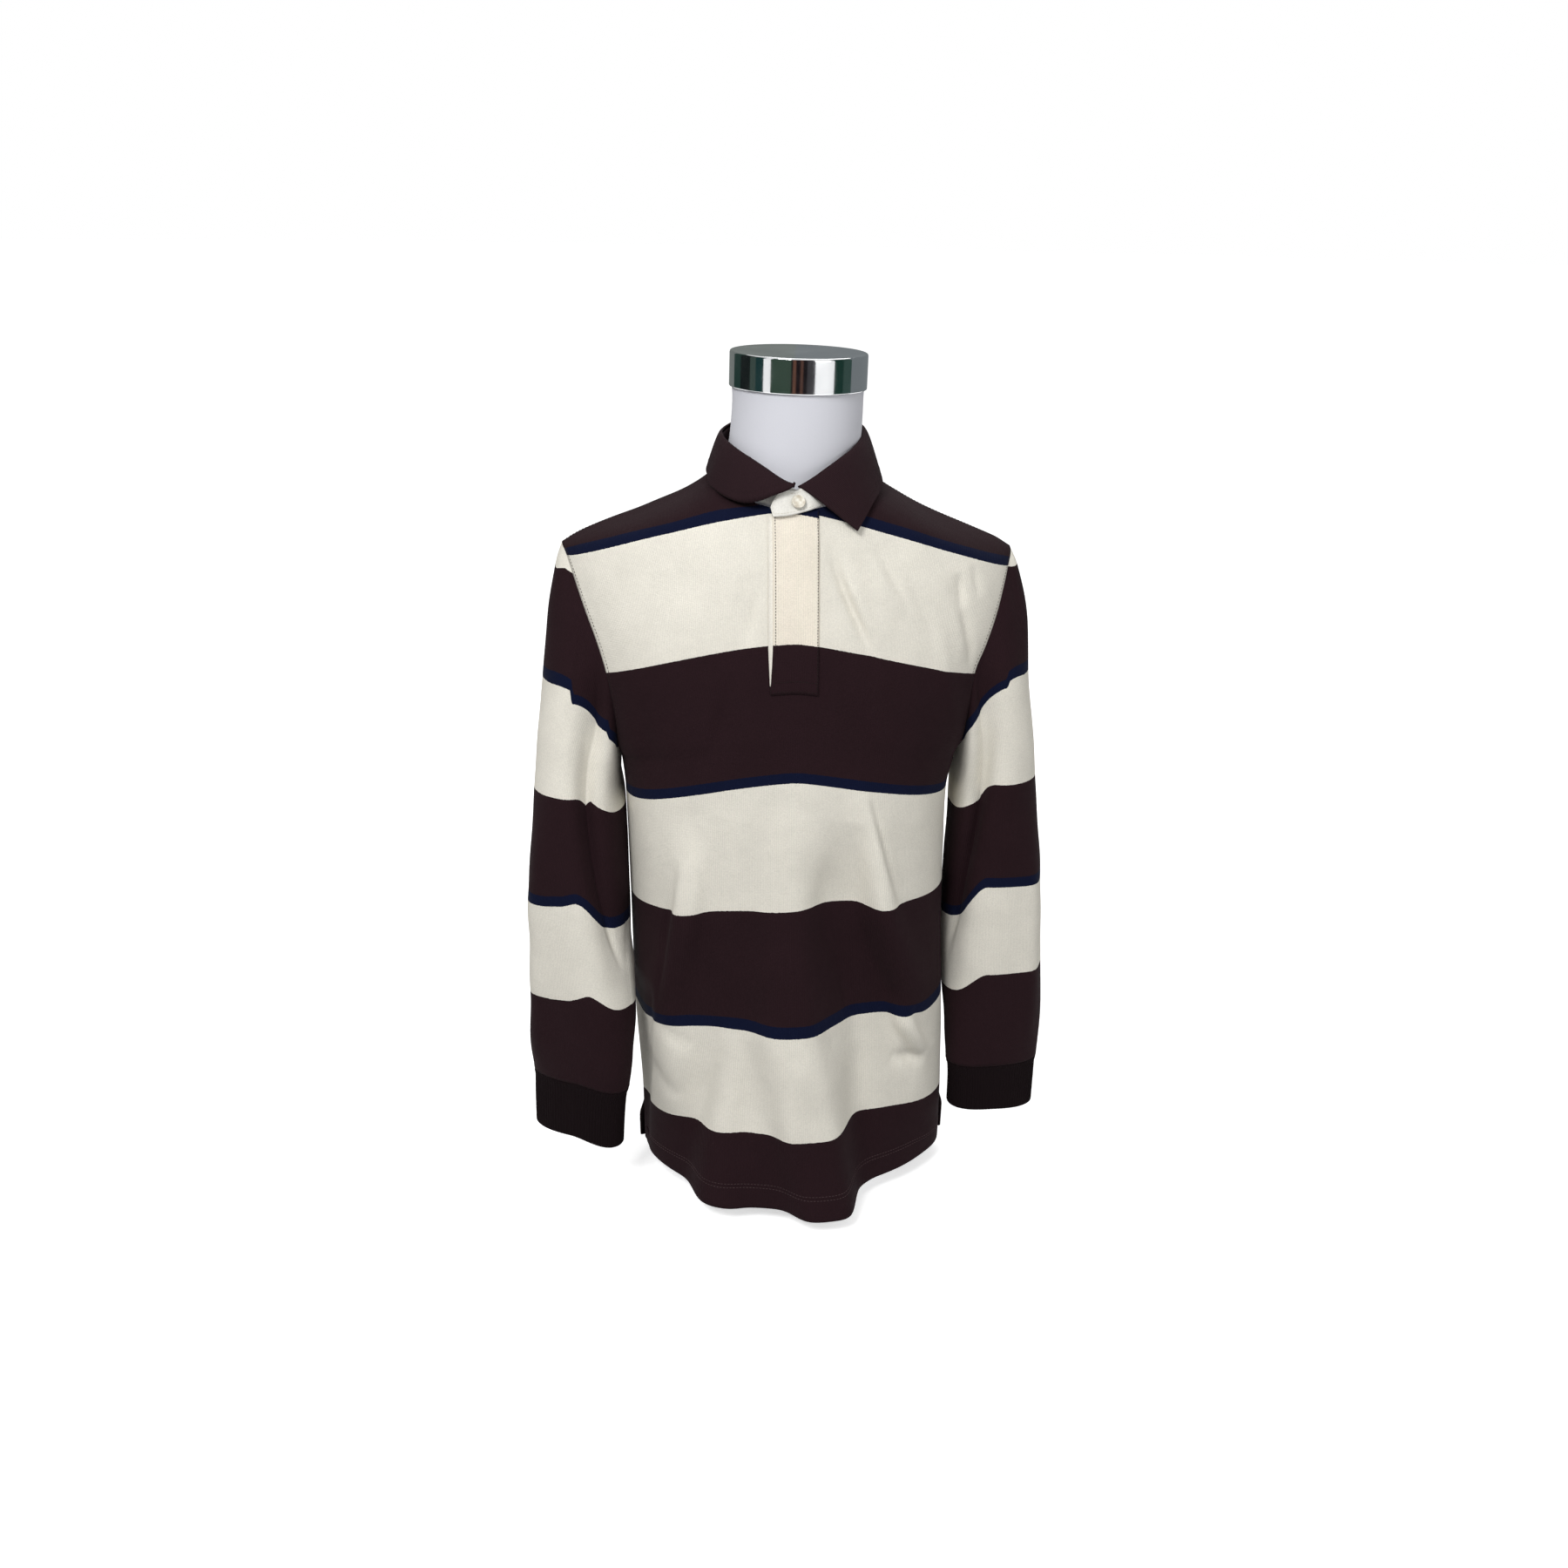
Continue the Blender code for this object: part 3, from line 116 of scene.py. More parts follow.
# Hanging folds: at each height v, the cloth between x_a and x_b stands out by "out",
# stepping up over soft_a and down over soft_b
FOLD_COLUMNS = ("v", "x_a", "x_b", "soft_a", "soft_b", "out")
FRONT_FOLDS = (
    ((0, -91, 67, 9, 6, 24), (84, -84, 55, 9, 9, 17), (201, -66, 40, 16, 14, 8),
     (300, -60, 30, 16, 14, 0)),
    ((0, 4, 64, 12, 7, 26), (84, -10, 50, 12, 10, 18), (201, -32, 28, 13, 12, 22), (331, -34, 8, 11, 10, 9),
     (430, -40, 0, 16, 16, 0)),
    ((0, -92, -50, 9, 12, 11), (84, -86, -60, 9, 12, 3), (140, -80, -60, 12, 12, 0)),
    ((0, 82, 164, 10, 12, -9), (84, 63, 128, 9, 18, -13), (201, 52, 110, 10, 9, -14),
     (331, 20, 66, 10, 7, -15), (420, 30, 62, 14, 9, 0)),
    ((110, 112, 150, 12, 14, 0), (201, 110, 142, 9, 14, 9), (331, 75, 97, 7, 9, 16), (410, 60, 78, 9, 7, 7),
     (465, 44, 66, 12, 8, 0)),
    ((84, -150, -112, 12, 12, 0), (201, -150, -110, 12, 12, 12), (331, -114, -90, 8, 8, 13),
     (430, -114, -84, 14, 14, 0)),
)
BACK_FOLDS = (
    ((0, -86, -30, 12, 10, 24), (120, -74, -26, 14, 12, 18), (280, -60, -20, 16, 14, 9),
     (430, -50, -10, 18, 18, 0)),
    ((0, 34, 92, 10, 14, 22), (120, 34, 80, 12, 14, 17), (280, 30, 66, 14, 16, 8),
     (420, 30, 60, 18, 18, 0)),
    ((0, -26, 30, 10, 10, -8), (120, -22, 30, 12, 12, -7), (280, -14, 24, 14, 14, -4),
     (400, -8, 20, 18, 18, 0)),
    ((250, 60, 92, 14, 12, 0), (380, 74, 104, 12, 12, 8), (500, 96, 124, 14, 14, 5),
     (590, 110, 140, 16, 16, 0)),
)

# Narrow drag lines across the panel: v_a, x_a, v_b, x_b, half width and depth (inwards is negative)
FRONT_CREASES = (
    (690, 20, 560, 70, 8, -4.5),
    (672, 34, 600, 62, 7, 2.5),
    (650, -44, 575, -58, 8, -3.0),
    (676, 138, 575, 163, 7, -3.5),
    (640, 122, 520, 150, 9, 3.0),
    (560, -146, 470, -128, 9, -3.0),
    (190, 112, 110, 136, 8, -5.0),
    (250, -128, 60, -139, 8, -4.0),
)
BACK_CREASES = (
    (670, -150, 560, -128, 10, -4.0),
    (664, 146, 556, 122, 10, -4.0),
    (600, -60, 430, -92, 12, 3.0),
)

ARMHOLE_LEVELS = (496, 508, 532, 556, 579, 608, 638, 668, 696)
TOP_SHARES = (0.34, 0.67, 1.0)
SLIT_HALF, SLIT_FOOT_V = 0.010, 556.0

# Sleeve: one row per height above the cuff seam, as if the tube ran on past the armhole
SLEEVE_COLUMNS = ("v", "x_c", "y_c", "half_x", "half_y", "z", "drop", "from_cos", "turn")
RIGHT_SLEEVE_ROWS = (
    (0.0, -207, -38, 50.5, 26, 131, 10, 0.0, 24),
    (40.0, -206, -38, 54, 32, 171, 14, 0.2, 27),
    (88.0, -202, -38, 53.5, 37, 224, 20, 0.4, 30),
    (140.0, -201.5, -35, 50, 43, 274, 30, 0.35, 28),
    (205.0, -204, -30, 47.5, 48, 328, 42, 0.3, 24),
    (270.0, -202, -24, 44.5, 52, 383, 34, 0.2, 18),
    (335.5, -200.5, -17, 42, 54, 437, 28, 0.1, 12),
    (400.0, -197.5, -10, 41, 56, 490, 46, -0.1, 6),
    (452.5, -193, -5, 40, 58, 540, 62, -0.2, 0),
    (520.0, -187, -3, 40, 56, 598, 60, -0.2, 0),
    (583.0, -178, 0, 40, 46, 646, 40, -0.3, 0),
    (605.0, -173, 3, 39, 38, 664, 30, -0.3, 0),
)
LEFT_SLEEVE_ROWS = (
    (0.0, 220.5, -10, 48, 26, 122, 2, 0.0, 6),
    (40.0, 220, -8, 50, 33, 170, 10, 0.2, 8),
    (88.0, 215.5, -5, 50, 40, 231, 26, 0.3, 8),
    (140.0, 212.5, -3, 49.5, 45, 282, 32, 0.3, 6),
    (205.0, 209.3, -1, 48, 50, 331, 44, 0.3, 4),
    (270.0, 206, -2, 44, 53, 388, 40, 0.2, 2),
    (335.5, 203, -3, 40.5, 56, 441, 34, 0.1, 0),
    (400.0, 197.5, -4, 39.5, 57, 494, 48, -0.1, 0),
    (452.5, 190.5, -5, 38, 58, 546, 62, -0.2, 0),
    (520.0, 185.5, -3, 40, 56, 600, 60, -0.2, 0),
    (583.0, 176, 0, 40, 46, 645, 40, -0.3, 0),
    (605.0, 170, 3, 39, 38, 661, 30, -0.3, 0),
)
# Grooves running down a sleeve: height, angle round from the inner side, half width, depth
GROOVE_COLUMNS = ("v", "angle", "half", "out")
RIGHT_GROOVES = (
    ((60, 20, 18, 0), (190, 20, 18, -3), (250, 44, 17, -8), (335, 66, 15, -12), (452, 80, 15, -11),
     (560, 96, 15, -4)),
    ((0, 262, 26, 0), (120, 258, 24, -6), (300, 280, 22, -8), (440, 290, 22, 0), (560, 290, 22, 0)),
    ((0, 128, 20, 0), (90, 128, 18, 5), (240, 120, 18, 4), (330, 116, 18, 0), (560, 116, 18, 0)),
)
LEFT_GROOVES = (
    ((60, 20, 18, 0), (190, 28, 18, -6), (335, 60, 15, -12), (452, 78, 15, -11), (560, 96, 15, -5)),
    ((0, 250, 26, 0), (140, 252, 24, -7), (300, 268, 22, -7), (440, 280, 22, 0), (560, 280, 22, 0)),
    ((0, 118, 20, 0), (70, 122, 16, 4), (190, 126, 18, 5), (320, 128, 18, 0), (560, 128, 18, 0)),
)
CAP_TOP_V, SLEEVE_UNDERARM_V, CAP_BLEND = 605.0, 470.0, 150.0
# Body points that tell which way the armhole edge faces
BESIDE_EDGE, UNDERARM_DROP = 0.97, 5.0

# Cuff: share down the rib band, its shift along x, how much smaller than the sleeve end it is,
# its distance below the seam, and how much lower its outer side hangs over one half width
CUFF_COLUMNS = ("share", "shift_x", "shrink", "down", "tilt")
RIGHT_CUFF_ROWS = (
    (0.0, 0, 0.2, 0.7, 0), (0.12, -1, 2.4, 9, 0), (0.5, -2.5, 3.4, 33, 1), (1.0, -3.5, 4.2, 64, 1.5),
)
LEFT_CUFF_ROWS = (
    (0.0, 0, 0.2, 0.7, 0), (0.12, 0.5, 2.4, 8, 0), (0.5, 1, 3.0, 28, -1), (1.0, 1, 3.2, 54, -2),
)
CUFF_HALF = 48.0

# Collar stand: turn in degrees, starting left of the centre under the button end
STAND_START, STAND_END, STAND_LEAN = -9.0, 377.0, 0.10
STAND_COLUMNS = ("turn", "height")
STAND_HEIGHTS = ((0, 15.5), (15, 23.0), (28, 28.5), (42, 31.5), (60, 32.5), (90, 32.0), (180, 33.0))
STAND_SLUMP, SLUMP_TURN, SLUMP_HALF = 6.0, 115.0, 45.0
STAND_WALL, STAND_INSET, STAND_LIFT = 1.8, 1.6, 1.5
# The band winds outwards as it goes, so that its buttoned end laps over its start
SPIRAL_START, SPIRAL_GROWTH = -1.3, 2.8
TAB_START, TAB_ROUND, TAB_DROP, MM_A_DEGREE = 360.0, 15.0, 6.0, 1.35
# From this turn on the band laps down and out over the placket
LAP_FROM, LAP_DROP, LAP_OUT, LAP_ASIDE = 338.0, 10.0, 5.4, 5.5

# Collar fall: turn about the neck from the centre front towards the wearer's right,
# the outer edge, and how much of the edge rolls under
FALL_COLUMNS = ("turn", "x", "y", "z", "roll", "crown", "swell")
FALL_ROWS = (
    (1.5, -6, -95, 735.0, 0.4, 6.0, 4.5),
    (9, -14, -99, 732.5, 0.8, 6.0, 4.5),
    (18, -26, -99, 729.0, 1.0, 5.5, 4.0),
    (28, -38, -95, 724.0, 1.0, 5.0, 4.0),
    (40, -52, -85, 720.5, 1.0, 4.0, 3.0),
    (54, -67, -69, 723, 0.8, 3.0, 2.0),
    (72, -78, -39, 728.5, 0.3, 2.4, 1.6),
    (92, -78, -2, 732, 0.0, 2.2, 1.5),
    (125, -72, 44, 734, 0.0, 3.0, 3.0),
    (155, -40, 75, 734, 0.0, 4.0, 4.0),
    (180, 0, 83, 734, 0.0, 4.0, 4.0),
    (205, 40, 75, 734, 0.0, 4.0, 4.0),
    (235, 73, 44, 734, 0.0, 4.2, 3.5),
    (268, 80, -2, 731.5, 0.0, 4.6, 1.5),
    (288, 78, -34, 728, 0.0, 4.6, 2.0),
    (308, 72, -56, 722.5, 0.0, 5.0, 3.0),
    (330, 64, -75, 716, 0.0, 5.5, 4.0),
    (345, 56, -89, 706.5, 0.0, 6.0, 4.5),
    (358.5, 48, -99, 696, 0.0, 6.5, 5.0),
)
FALL_WALL = 1.8
# Where the fall starts over the stand, how high it rises first, and how its edge rolls under
FALL_LIFT, FALL_INSET, FALL_RISE, FALL_SHOULDER = 3.4, 1.2, 3.2, 2.0
ROLL_ANGLES, ROLL_SIZE, ROLL_IN, ROLL_STEP = (55.0, 115.0, 165.0), 3.6, 0.4, 0.6

# Placket bands lie on the front panel, at widths u from the centre front
FRONT_HALF, PLACKET_SPREAD, NECKLINE_INSET = 190.0, 1.05, 1.6
BAND_FOOT_V, BAND_WIDENS, BAND_OUT, BAND_TUCK = 536, 45.0, 2.55, 1.2
BAND_U, BAND_FLARE = (-19.7, 18.4), 1.7
# Its stitches: columns of the two long runs, and heights in mm of the two at the foot
PLACKET_STITCH, PLACKET_FOOT_STITCH = (2.3, 40.6), (2.4, 11.0)
STRIP_FOOT_V, STRIP_U_TOP, STRIP_U_FOOT, STRIP_U_RIGHT = 544, -23.7, -22.1, 16.5
STRIP_OUT, STRIP_WALL = 1.37, 0.9

BUTTON_TURN, BUTTON_SHARE, BUTTON_CLEAR, BUTTON_TIP = 358.5, 0.47, 2.3, 14.0
# The buttonhole, by columns back from the tab's end, and half its width in mm
HOLE_COLS, HOLE_HALF, BUTTON_COL = (16.0, 22.0), 0.75, 17

# Dress form rings; "full" is how square a ring is, "rise" how sharply it climbs from its sides
# to its front and back
FORM_COLUMNS = (
    "x_mid", "x_side", "y_side", "z_side", "y_front", "z_front", "y_back", "z_back", "full", "rise",
)
FORM_RINGS = (
    (0, 112, 0, 0.0, -76, 0.0, 76, 0.0, 2.2, 2.0),
    (0, 115, 0, 3.0, -79, 3.0, 79, 3.0, 2.2, 2.0),
    (0, 118, 0, 60, -81, 60, 82, 60, 2.2, 2.0),
    (0, 120, 0, 130, -82, 130, 84, 130, 2.2, 2.0),
    (0, 122, 0, 200, -84, 200, 86, 200, 2.2, 2.0),
    (0, 127, 0, 270, -88, 270, 91, 270, 2.2, 2.0),
    (0, 134, 0, 340, -96, 340, 98, 340, 2.2, 2.0),
    (-1, 140, 0, 405, -104, 405, 104, 405, 2.2, 2.0),
    (-1, 145, 0, 460, -107, 458, 108, 460, 2.2, 2.0),
    (-1, 150, 0, 510, -108, 505, 110, 510, 2.2, 2.0),
    (-2, 158, 1, 560, -106, 545, 109, 560, 2.1, 1.8),
    (-2, 171, 2, 603, -102, 577, 104, 604, 2.0, 1.7),
    (-2, 184, 4, 636, -98, 604, 98, 640, 1.8, 1.7),
    (-2, 192, 5, 655, -93, 626, 92, 662, 1.7, 1.8),
    (-2, 190, 5, 668.5, -88, 644, 87, 680, 1.6, 2.0),
    (-2, 182, 5, 674.5, -84, 657, 82, 692, 1.5, 2.2),
    (-2, 160.7, 5, 683.0, -80, 669, 77, 702, 1.5, 2.4),
    (-2, 139.5, 5, 691.3, -76, 680, 71, 712, 1.5, 2.6),
    (-2, 118, 5, 700.7, -72, 691, 65, 722, 1.5, 2.8),
    (-1, 97, 5, 710.0, -69, 702, 59, 731, 1.6, 3.0),
    (-1, 81, 4, 719.1, -67, 711, 54, 739, 1.7, 3.0),
    (0, 67, 2, 729.0, -65, 720, 51, 746, 1.8, 2.6),
    (0, 62.5, -2, 736.0, -65, 731, 50, 752, 1.9, 2.2),
    (0, 60, -6, 748.0, -66, 745, 49, 761, 2.0, 2.0),
    (2, 59.5, -8, 770.0, -67, 769, 50, 774, 2.0, 2.0),
    (3, 59.0, -9, 796.0, -68, 796, 50, 797, 2.0, 2.0),
    (3, 59.5, -9, 810.0, -68.5, 810, 50.5, 810, 2.0, 2.0),
)
# The form stands a little askew above TILT_FROM, more so over the next TILT_OVER
FORM_TILT, TILT_CENTRE_X, TILT_FROM, TILT_OVER = 0.0125, -2.0, 300.0, 300.0
CAP_CENTRE, CAP_PIVOT_Z, CAP_LIFT = (3.2, -9.0), 822.0, 2.5
CAP_LEAN_Y, CAP_LEAN_X = 0.8, 0.8

# Finishing of the cloth
CLOTH, CUFF_PLY = 1.3, 0.95
# The hem's turned-up ply: height and depth inside the panel; how far its fold stands back and down
HEM_TURN = ((25.0, 1.75), (15.0, 1.70), (7.5, 1.70), (3.0, 1.60), (1.0, 1.35))
HEM_BACK, HEM_DOWN = 0.85, 0.5
# The sleeve's edge: its seam stands clear of the armhole's edge and a little under its face, and its
# tuck reaches in past that edge and further under
SEAM_CLEAR, SEAM_UNDER, TUCK_IN, TUCK_UNDER = 0.3, 0.5, 3.0, 1.2
# Pitches of the knit, the rib and the twill, in metres
WALE, COURSE, RIB, TWILL = 0.0015, 0.0013, 0.0024, 0.0009
# Ribs round a cuff, points on each and their height; the cuff's cut length round and down, folded double
CUFF_RIBS, RIB_STEPS, RIB_HIGH, CUFF_ROUND, CUFF_CUT = 92, 6, 0.34, 230.0, 120.0
# Stitches: their distance from the edge, where the shoulder runs (in shares across) and the armhole
# runs (in mm up) start, and their height above the cloth
ARM_INSET, SHOULDER_INSET, COLLAR_INSET, TAB_INSET = 4.4, 5.0, 5.0, 2.6
SHOULDER_CLEAR, ARM_CLEAR, BODY_LIFT, STITCH_LIFT = 0.02, 4.0, 0.12, 0.1
HEM_STITCH = (23.0, 27.0)
# Runs of stitches: pitch, length and radius
BODY_RUN, STAND_RUN, COLLAR_RUN = (3.3, 2.5, 0.30), (2.8, 2.1, 0.20), (2.8, 2.3, 0.20)
PLACKET_RUN, HOLE_RUN = (2.6, 2.0, 0.36), (0.8, 1.1, 0.42)
# A stitch, ring by ring: place along it in half lengths, width and dip in radii
STITCH_RINGS = (
    (-1.0, 0.30, -0.40), (-0.6, 0.85, -0.10), (0.0, 1.0, 0.0), (0.6, 0.85, -0.10), (1.0, 0.30, -0.40),
)
STITCH_SIDES = 5
# The back's corners stand out below this height, where the vents open
VENT_V, VENT_OUT = 66.0, 5.0
# Fineness of the sheets; a panel's columns, then its rows below the underarm, to the chest and above
FRONT_FINE, BACK_FINE = (180, 150, 58, 26), (150, 120, 48, 22)
SLEEVE_ROUND, SLEEVE_RADIUS = 150, 62.0
STAND_FINE, STAND_ACROSS, FALL_FINE, FALL_ACROSS, FALL_ROLL = 260, 14, 320, 28, 9
BAND_ROWS, BAND_ACROSS, STRIP_ROWS, STRIP_ACROSS = 110, 42, 80, 12
# Where a flat pattern starts, clear of zero
FLAT_FROM, BODY_FLAT_FROM = 300.0, 500.0

# Linear colours
DARK, NAVY, CREAM = (0.0200, 0.0090, 0.0114), (0.0045, 0.0070, 0.0250), (0.80, 0.768, 0.683)
RIB_DARK, COLLAR_DARK = (0.0075, 0.0042, 0.0050), (0.0215, 0.0105, 0.0130)
STAND_CREAM, FACING_CREAM, BAND_CREAM = (0.80, 0.785, 0.73), (0.82, 0.785, 0.70), (0.83, 0.765, 0.655)
FORM_WHITE, CHROME = (0.66, 0.665, 0.715), (0.74, 0.75, 0.76)
PEARL, PEARL_DEEP, PEARL_PALE = (0.70, 0.66, 0.56), (0.52, 0.46, 0.36), (0.84, 0.82, 0.76)
SEAM_THREAD, HEM_THREAD = (0.030, 0.018, 0.018), (0.075, 0.050, 0.052)
STAND_THREAD, COLLAR_THREAD, PLACKET_THREAD = (0.62, 0.58, 0.48), (0.022, 0.012, 0.014), (0.018, 0.012, 0.012)
FLOOR = (0.90, 0.90, 0.90)

STRIPE_TOP = 820.0
BODY_BANDS = (
    (0.0, DARK), (84.0, CREAM), (201.0, NAVY), (213.5, DARK), (331.5, CREAM), (448.5, NAVY),
    (461.0, DARK), (579.0, CREAM), (696.0, NAVY), (708.5, DARK),
)
# The stand is cream twill at both ends and collar cloth round the neck, by metres along the strip
STAND_ZONES = ((0.0, STAND_CREAM), (0.352, COLLAR_DARK), (0.690, STAND_CREAM))
BAND_BANDS = ((0.0, DARK), (579.0, BAND_CREAM), (692.7, NAVY))
SLEEVE_BANDS = (
    (0.0, DARK), (88.0, CREAM), (205.0, NAVY), (217.5, DARK), (335.5, CREAM), (452.5, NAVY),
    (465.0, DARK), (583.0, CREAM),
)

# Stripes on the sleeves, shifted to meet the front view where folds take the cloth up:
# height, then mm at each of these angles from the underarm round the front
SHIFT_ANGLES = (0, 20, 45, 58, 62, 85, 104, 108, 135, 160, 180)
RIGHT_SLEEVE_SHIFT = (
    (0, -15, -15, -15, -13, -12, -3, 0, 0, 0, 0, 0),
    (100, -15, -15, -15, -13, -12, -3, 0, 0, 0, 0, 0),
    (222, -14, -14, -13, -12, -11, -3, 0, 0, 0, 0, 0),
    (340, -8, -8, -8, -8, 4, 2, 0, 0, 0, 0, 0),
    (410, -16, -13, -8, -4, 2, 7, 10, 0, 0, 0, 0),
    (485, -34, -28, -9, 0, -9, 9, 19, 0, 0, 0, 0),
    (545, -20, -18, -6, 0, -4, 6, 12, 6, 13, 8, 0),
    (606, -10, -8, -3, 0, -2, 3, 8, 8, 14, 9, 2),
)
LEFT_SLEEVE_SHIFT = (
    (0, 0, 0, 0, 0, 0, 0, 0, 0, 0, 0, 0),
    (345, 0, 0, 0, 0, 0, 0, 0, 0, 0, 0, 0),
    (410, -12, -10, -6, -4, -4, -1, 3, -1, 0, 0, 0),
    (485, -32, -27, -18, -13, -12, -4, 6, -3, 0, 0, 0),
    (545, -18, -15, -8, -6, -6, -2, 2, -1, 0, 0, 0),
    (606, 0, 0, 0, 0, 0, 0, 0, 0, 0, 0, 0),
)

FORM_FINE, FORM_ROUND = 110, 144
CAP_FINE = (
    (0.0, 809.0), (56.0, 809.0), (60.6, 808.8), (60.8, 806.2), (61.0, 805.3), (61.4, 805.0), (61.8, 805.2),
    (62.0, 805.8), (62.0, 806.3), (62.0, 812.0), (62.0, 828.0), (62.0, 833.2), (62.0, 833.8), (61.7, 835.0),
    (61.1, 835.6), (60.4, 835.8), (59.4, 835.7), (58.0, 835.6), (40.0, 835.7), (0.0, 835.8),
)
BUTTON_FINE = (
    (0.0, 0.35), (1.6, 0.38), (3.2, 0.5), (3.9, 0.72), (4.4, 1.0), (4.8, 1.2), (5.2, 1.3), (5.6, 1.22),
    (5.85, 1.0), (6.05, 0.6), (6.1, 0.2), (6.05, -0.3), (5.9, -0.7), (5.4, -1.05), (4.8, -1.2), (0.0, -1.3),
)

# Camera, fitted to the photograph: distances in mm, angles in degrees, focal length in picture units
IMAGE_SIDE, CAMERA_FOCAL = 1800.0, 1850.0
CAMERA_PITCH, CAMERA_YAW, CAMERA_ROLL = 20.2, 5.0, 1.0
CAMERA_AWAY, CAMERA_HEIGHT, CAMERA_AXIS = 1490.0, 972.0, 903.0

# Studio, in metres and watts
# The backdrop is white to the camera and in reflections; on cloth its light fades from above to below
WORLD_SEEN, WORLD_BELOW, WORLD_ABOVE = 1.0, 0.26, 0.56
FLOOR_RADIUS, FLOOR_ROUND, FLOOR_GLOW = 30.0, 96, 0.55
# Lights: name, place, target, side and power
STUDIO_LIGHTS = (
    ("key_light", (-1.15, -1.9, 2.5), (0.0, 0.0, 0.45), 0.9, 55.0),
    ("fill_light", (1.5, -2.3, 1.2), (0.0, 0.0, 0.45), 1.4, 15.0),
    ("back_light", (0.5, 1.9, 2.3), (0.0, 0.0, 0.5), 1.4, 26.0),
)
CARD_RADIUS, CARD_HEIGHTS = 2.0, (0.05, 2.6)
# Cards: angle round from the front at both ends, towards the wearer's left, and colour
CARDS = (
    (-186.0, -137.0, (0.19, 0.21, 0.20)),
    (-137.0, -115.0, (0.02, 0.045, 0.038)),
    (-115.0, -91.0, (0.008, 0.012, 0.012)),
    (-91.0, -79.0, (0.05, 0.075, 0.065)),
    (-79.0, -64.0, (0.012, 0.04, 0.04)),
    (-51.0, -17.0, (0.045, 0.075, 0.055)),
    (-17.0, -14.0, (0.008, 0.010, 0.010)),
    (-14.0, -9.0, (0.14, 0.065, 0.045)),
    (-9.0, -2.0, (0.012, 0.008, 0.010)),
    (-2.0, 2.5, (0.10, 0.050, 0.038)),
    (2.5, 9.0, (0.010, 0.008, 0.010)),
    (9.0, 22.0, (0.05, 0.047, 0.052)),
    (55.0, 73.0, (0.008, 0.035, 0.026)),
    (73.0, 91.0, (0.04, 0.075, 0.065)),
    (91.0, 175.0, (0.19, 0.21, 0.22)),
)

# Crisp creases in the front: ends (x, v), half width and depth, outwards positive
CREASE_LINES = (
    (17, 676, 62, 586, 3.5, -2.7), (25, 674, 70, 586, 5.0, 2.0),
    (66, 680, 101, 626, 4.0, -2.2), (58, 672, 90, 622, 6.0, 1.6),
    (92, 668, 128, 600, 6.0, -1.4),
    (146, 676, 150, 640, 4.0, -2.7), (150, 640, 166, 584, 5.0, -3.2), (140, 650, 156, 590, 6.0, 1.9),
    (160, 690, 168, 655, 4.0, -2.2),
    (-34, 640, -50, 578, 4.5, -2.4), (-44, 640, -60, 580, 6.0, 1.6),
    (66, 452, 102, 326, 3.2, -3.5), (59, 452, 94, 326, 4.5, 2.2),
    (-110, 392, -132, 222, 3.4, -3.5), (-103, 392, -124, 226, 5.0, 2.0),
    (94, 226, 140, 150, 11.0, 4.6), (120, 212, 150, 152, 6.0, -5.2), (102, 152, 142, 140, 8.0, -4.2),
    (-140, 210, -96, 176, 9.0, -2.4), (-146, 160, -108, 110, 9.0, -2.6),
    (-72, 214, -96, 60, 12.0, -4.6), (-104, 214, -120, 70, 13.0, 3.2), (-40, 190, -48, 50, 10.0, -2.6),
    (4, 180, -6, 40, 12.0, 2.4), (60, 170, 76, 60, 12.0, -3.0),
    (30, 560, 78, 470, 7.0, -2.2), (-60, 560, -84, 470, 7.0, -2.2), (-20, 300, -40, 230, 7.0, 1.6),
    (40, 300, 58, 210, 7.0, -1.9),
)
# Where the front folds back in front of the side seam, as a fold like those of the panel
SIDE_FOLD = (
    (0, -176, -142, 3, 3, -6), (120, -176, -139, 3, 3, -8), (225, -176, -136, 3, 3, -6),
    (252, -176, -134, 4, 4, 0),
)
BACK_CREASE_LINES = (
    (-60, 690, -118, 600, 6.0, -1.8), (64, 690, 120, 604, 6.0, -1.8), (-96, 430, -70, 300, 6.0, -2.0),
    (84, 410, 60, 270, 6.0, 1.8), (-20, 330, -34, 200, 7.0, 1.6), (-150, 560, -120, 480, 6.0, -2.2),
    (150, 556, 122, 470, 6.0, -2.2), (10, 250, 22, 130, 7.0, -1.5),
)
# Crisp edges along the grooves of the sleeves: height, angle, half width, depth
RIGHT_SLEEVE_CREASE = (
    (150, 8, 6, 0), (210, 22, 5, -3.0), (260, 42, 5, -3.4), (335, 60, 5, -3.6), (452, 74, 5, -3.4),
    (560, 92, 6, 0),
)
LEFT_SLEEVE_CREASE = (
    (120, 10, 6, 0), (190, 22, 5, -3.0), (335, 52, 5, -3.6), (452, 71, 5, -3.4), (560, 92, 6, 0),
)


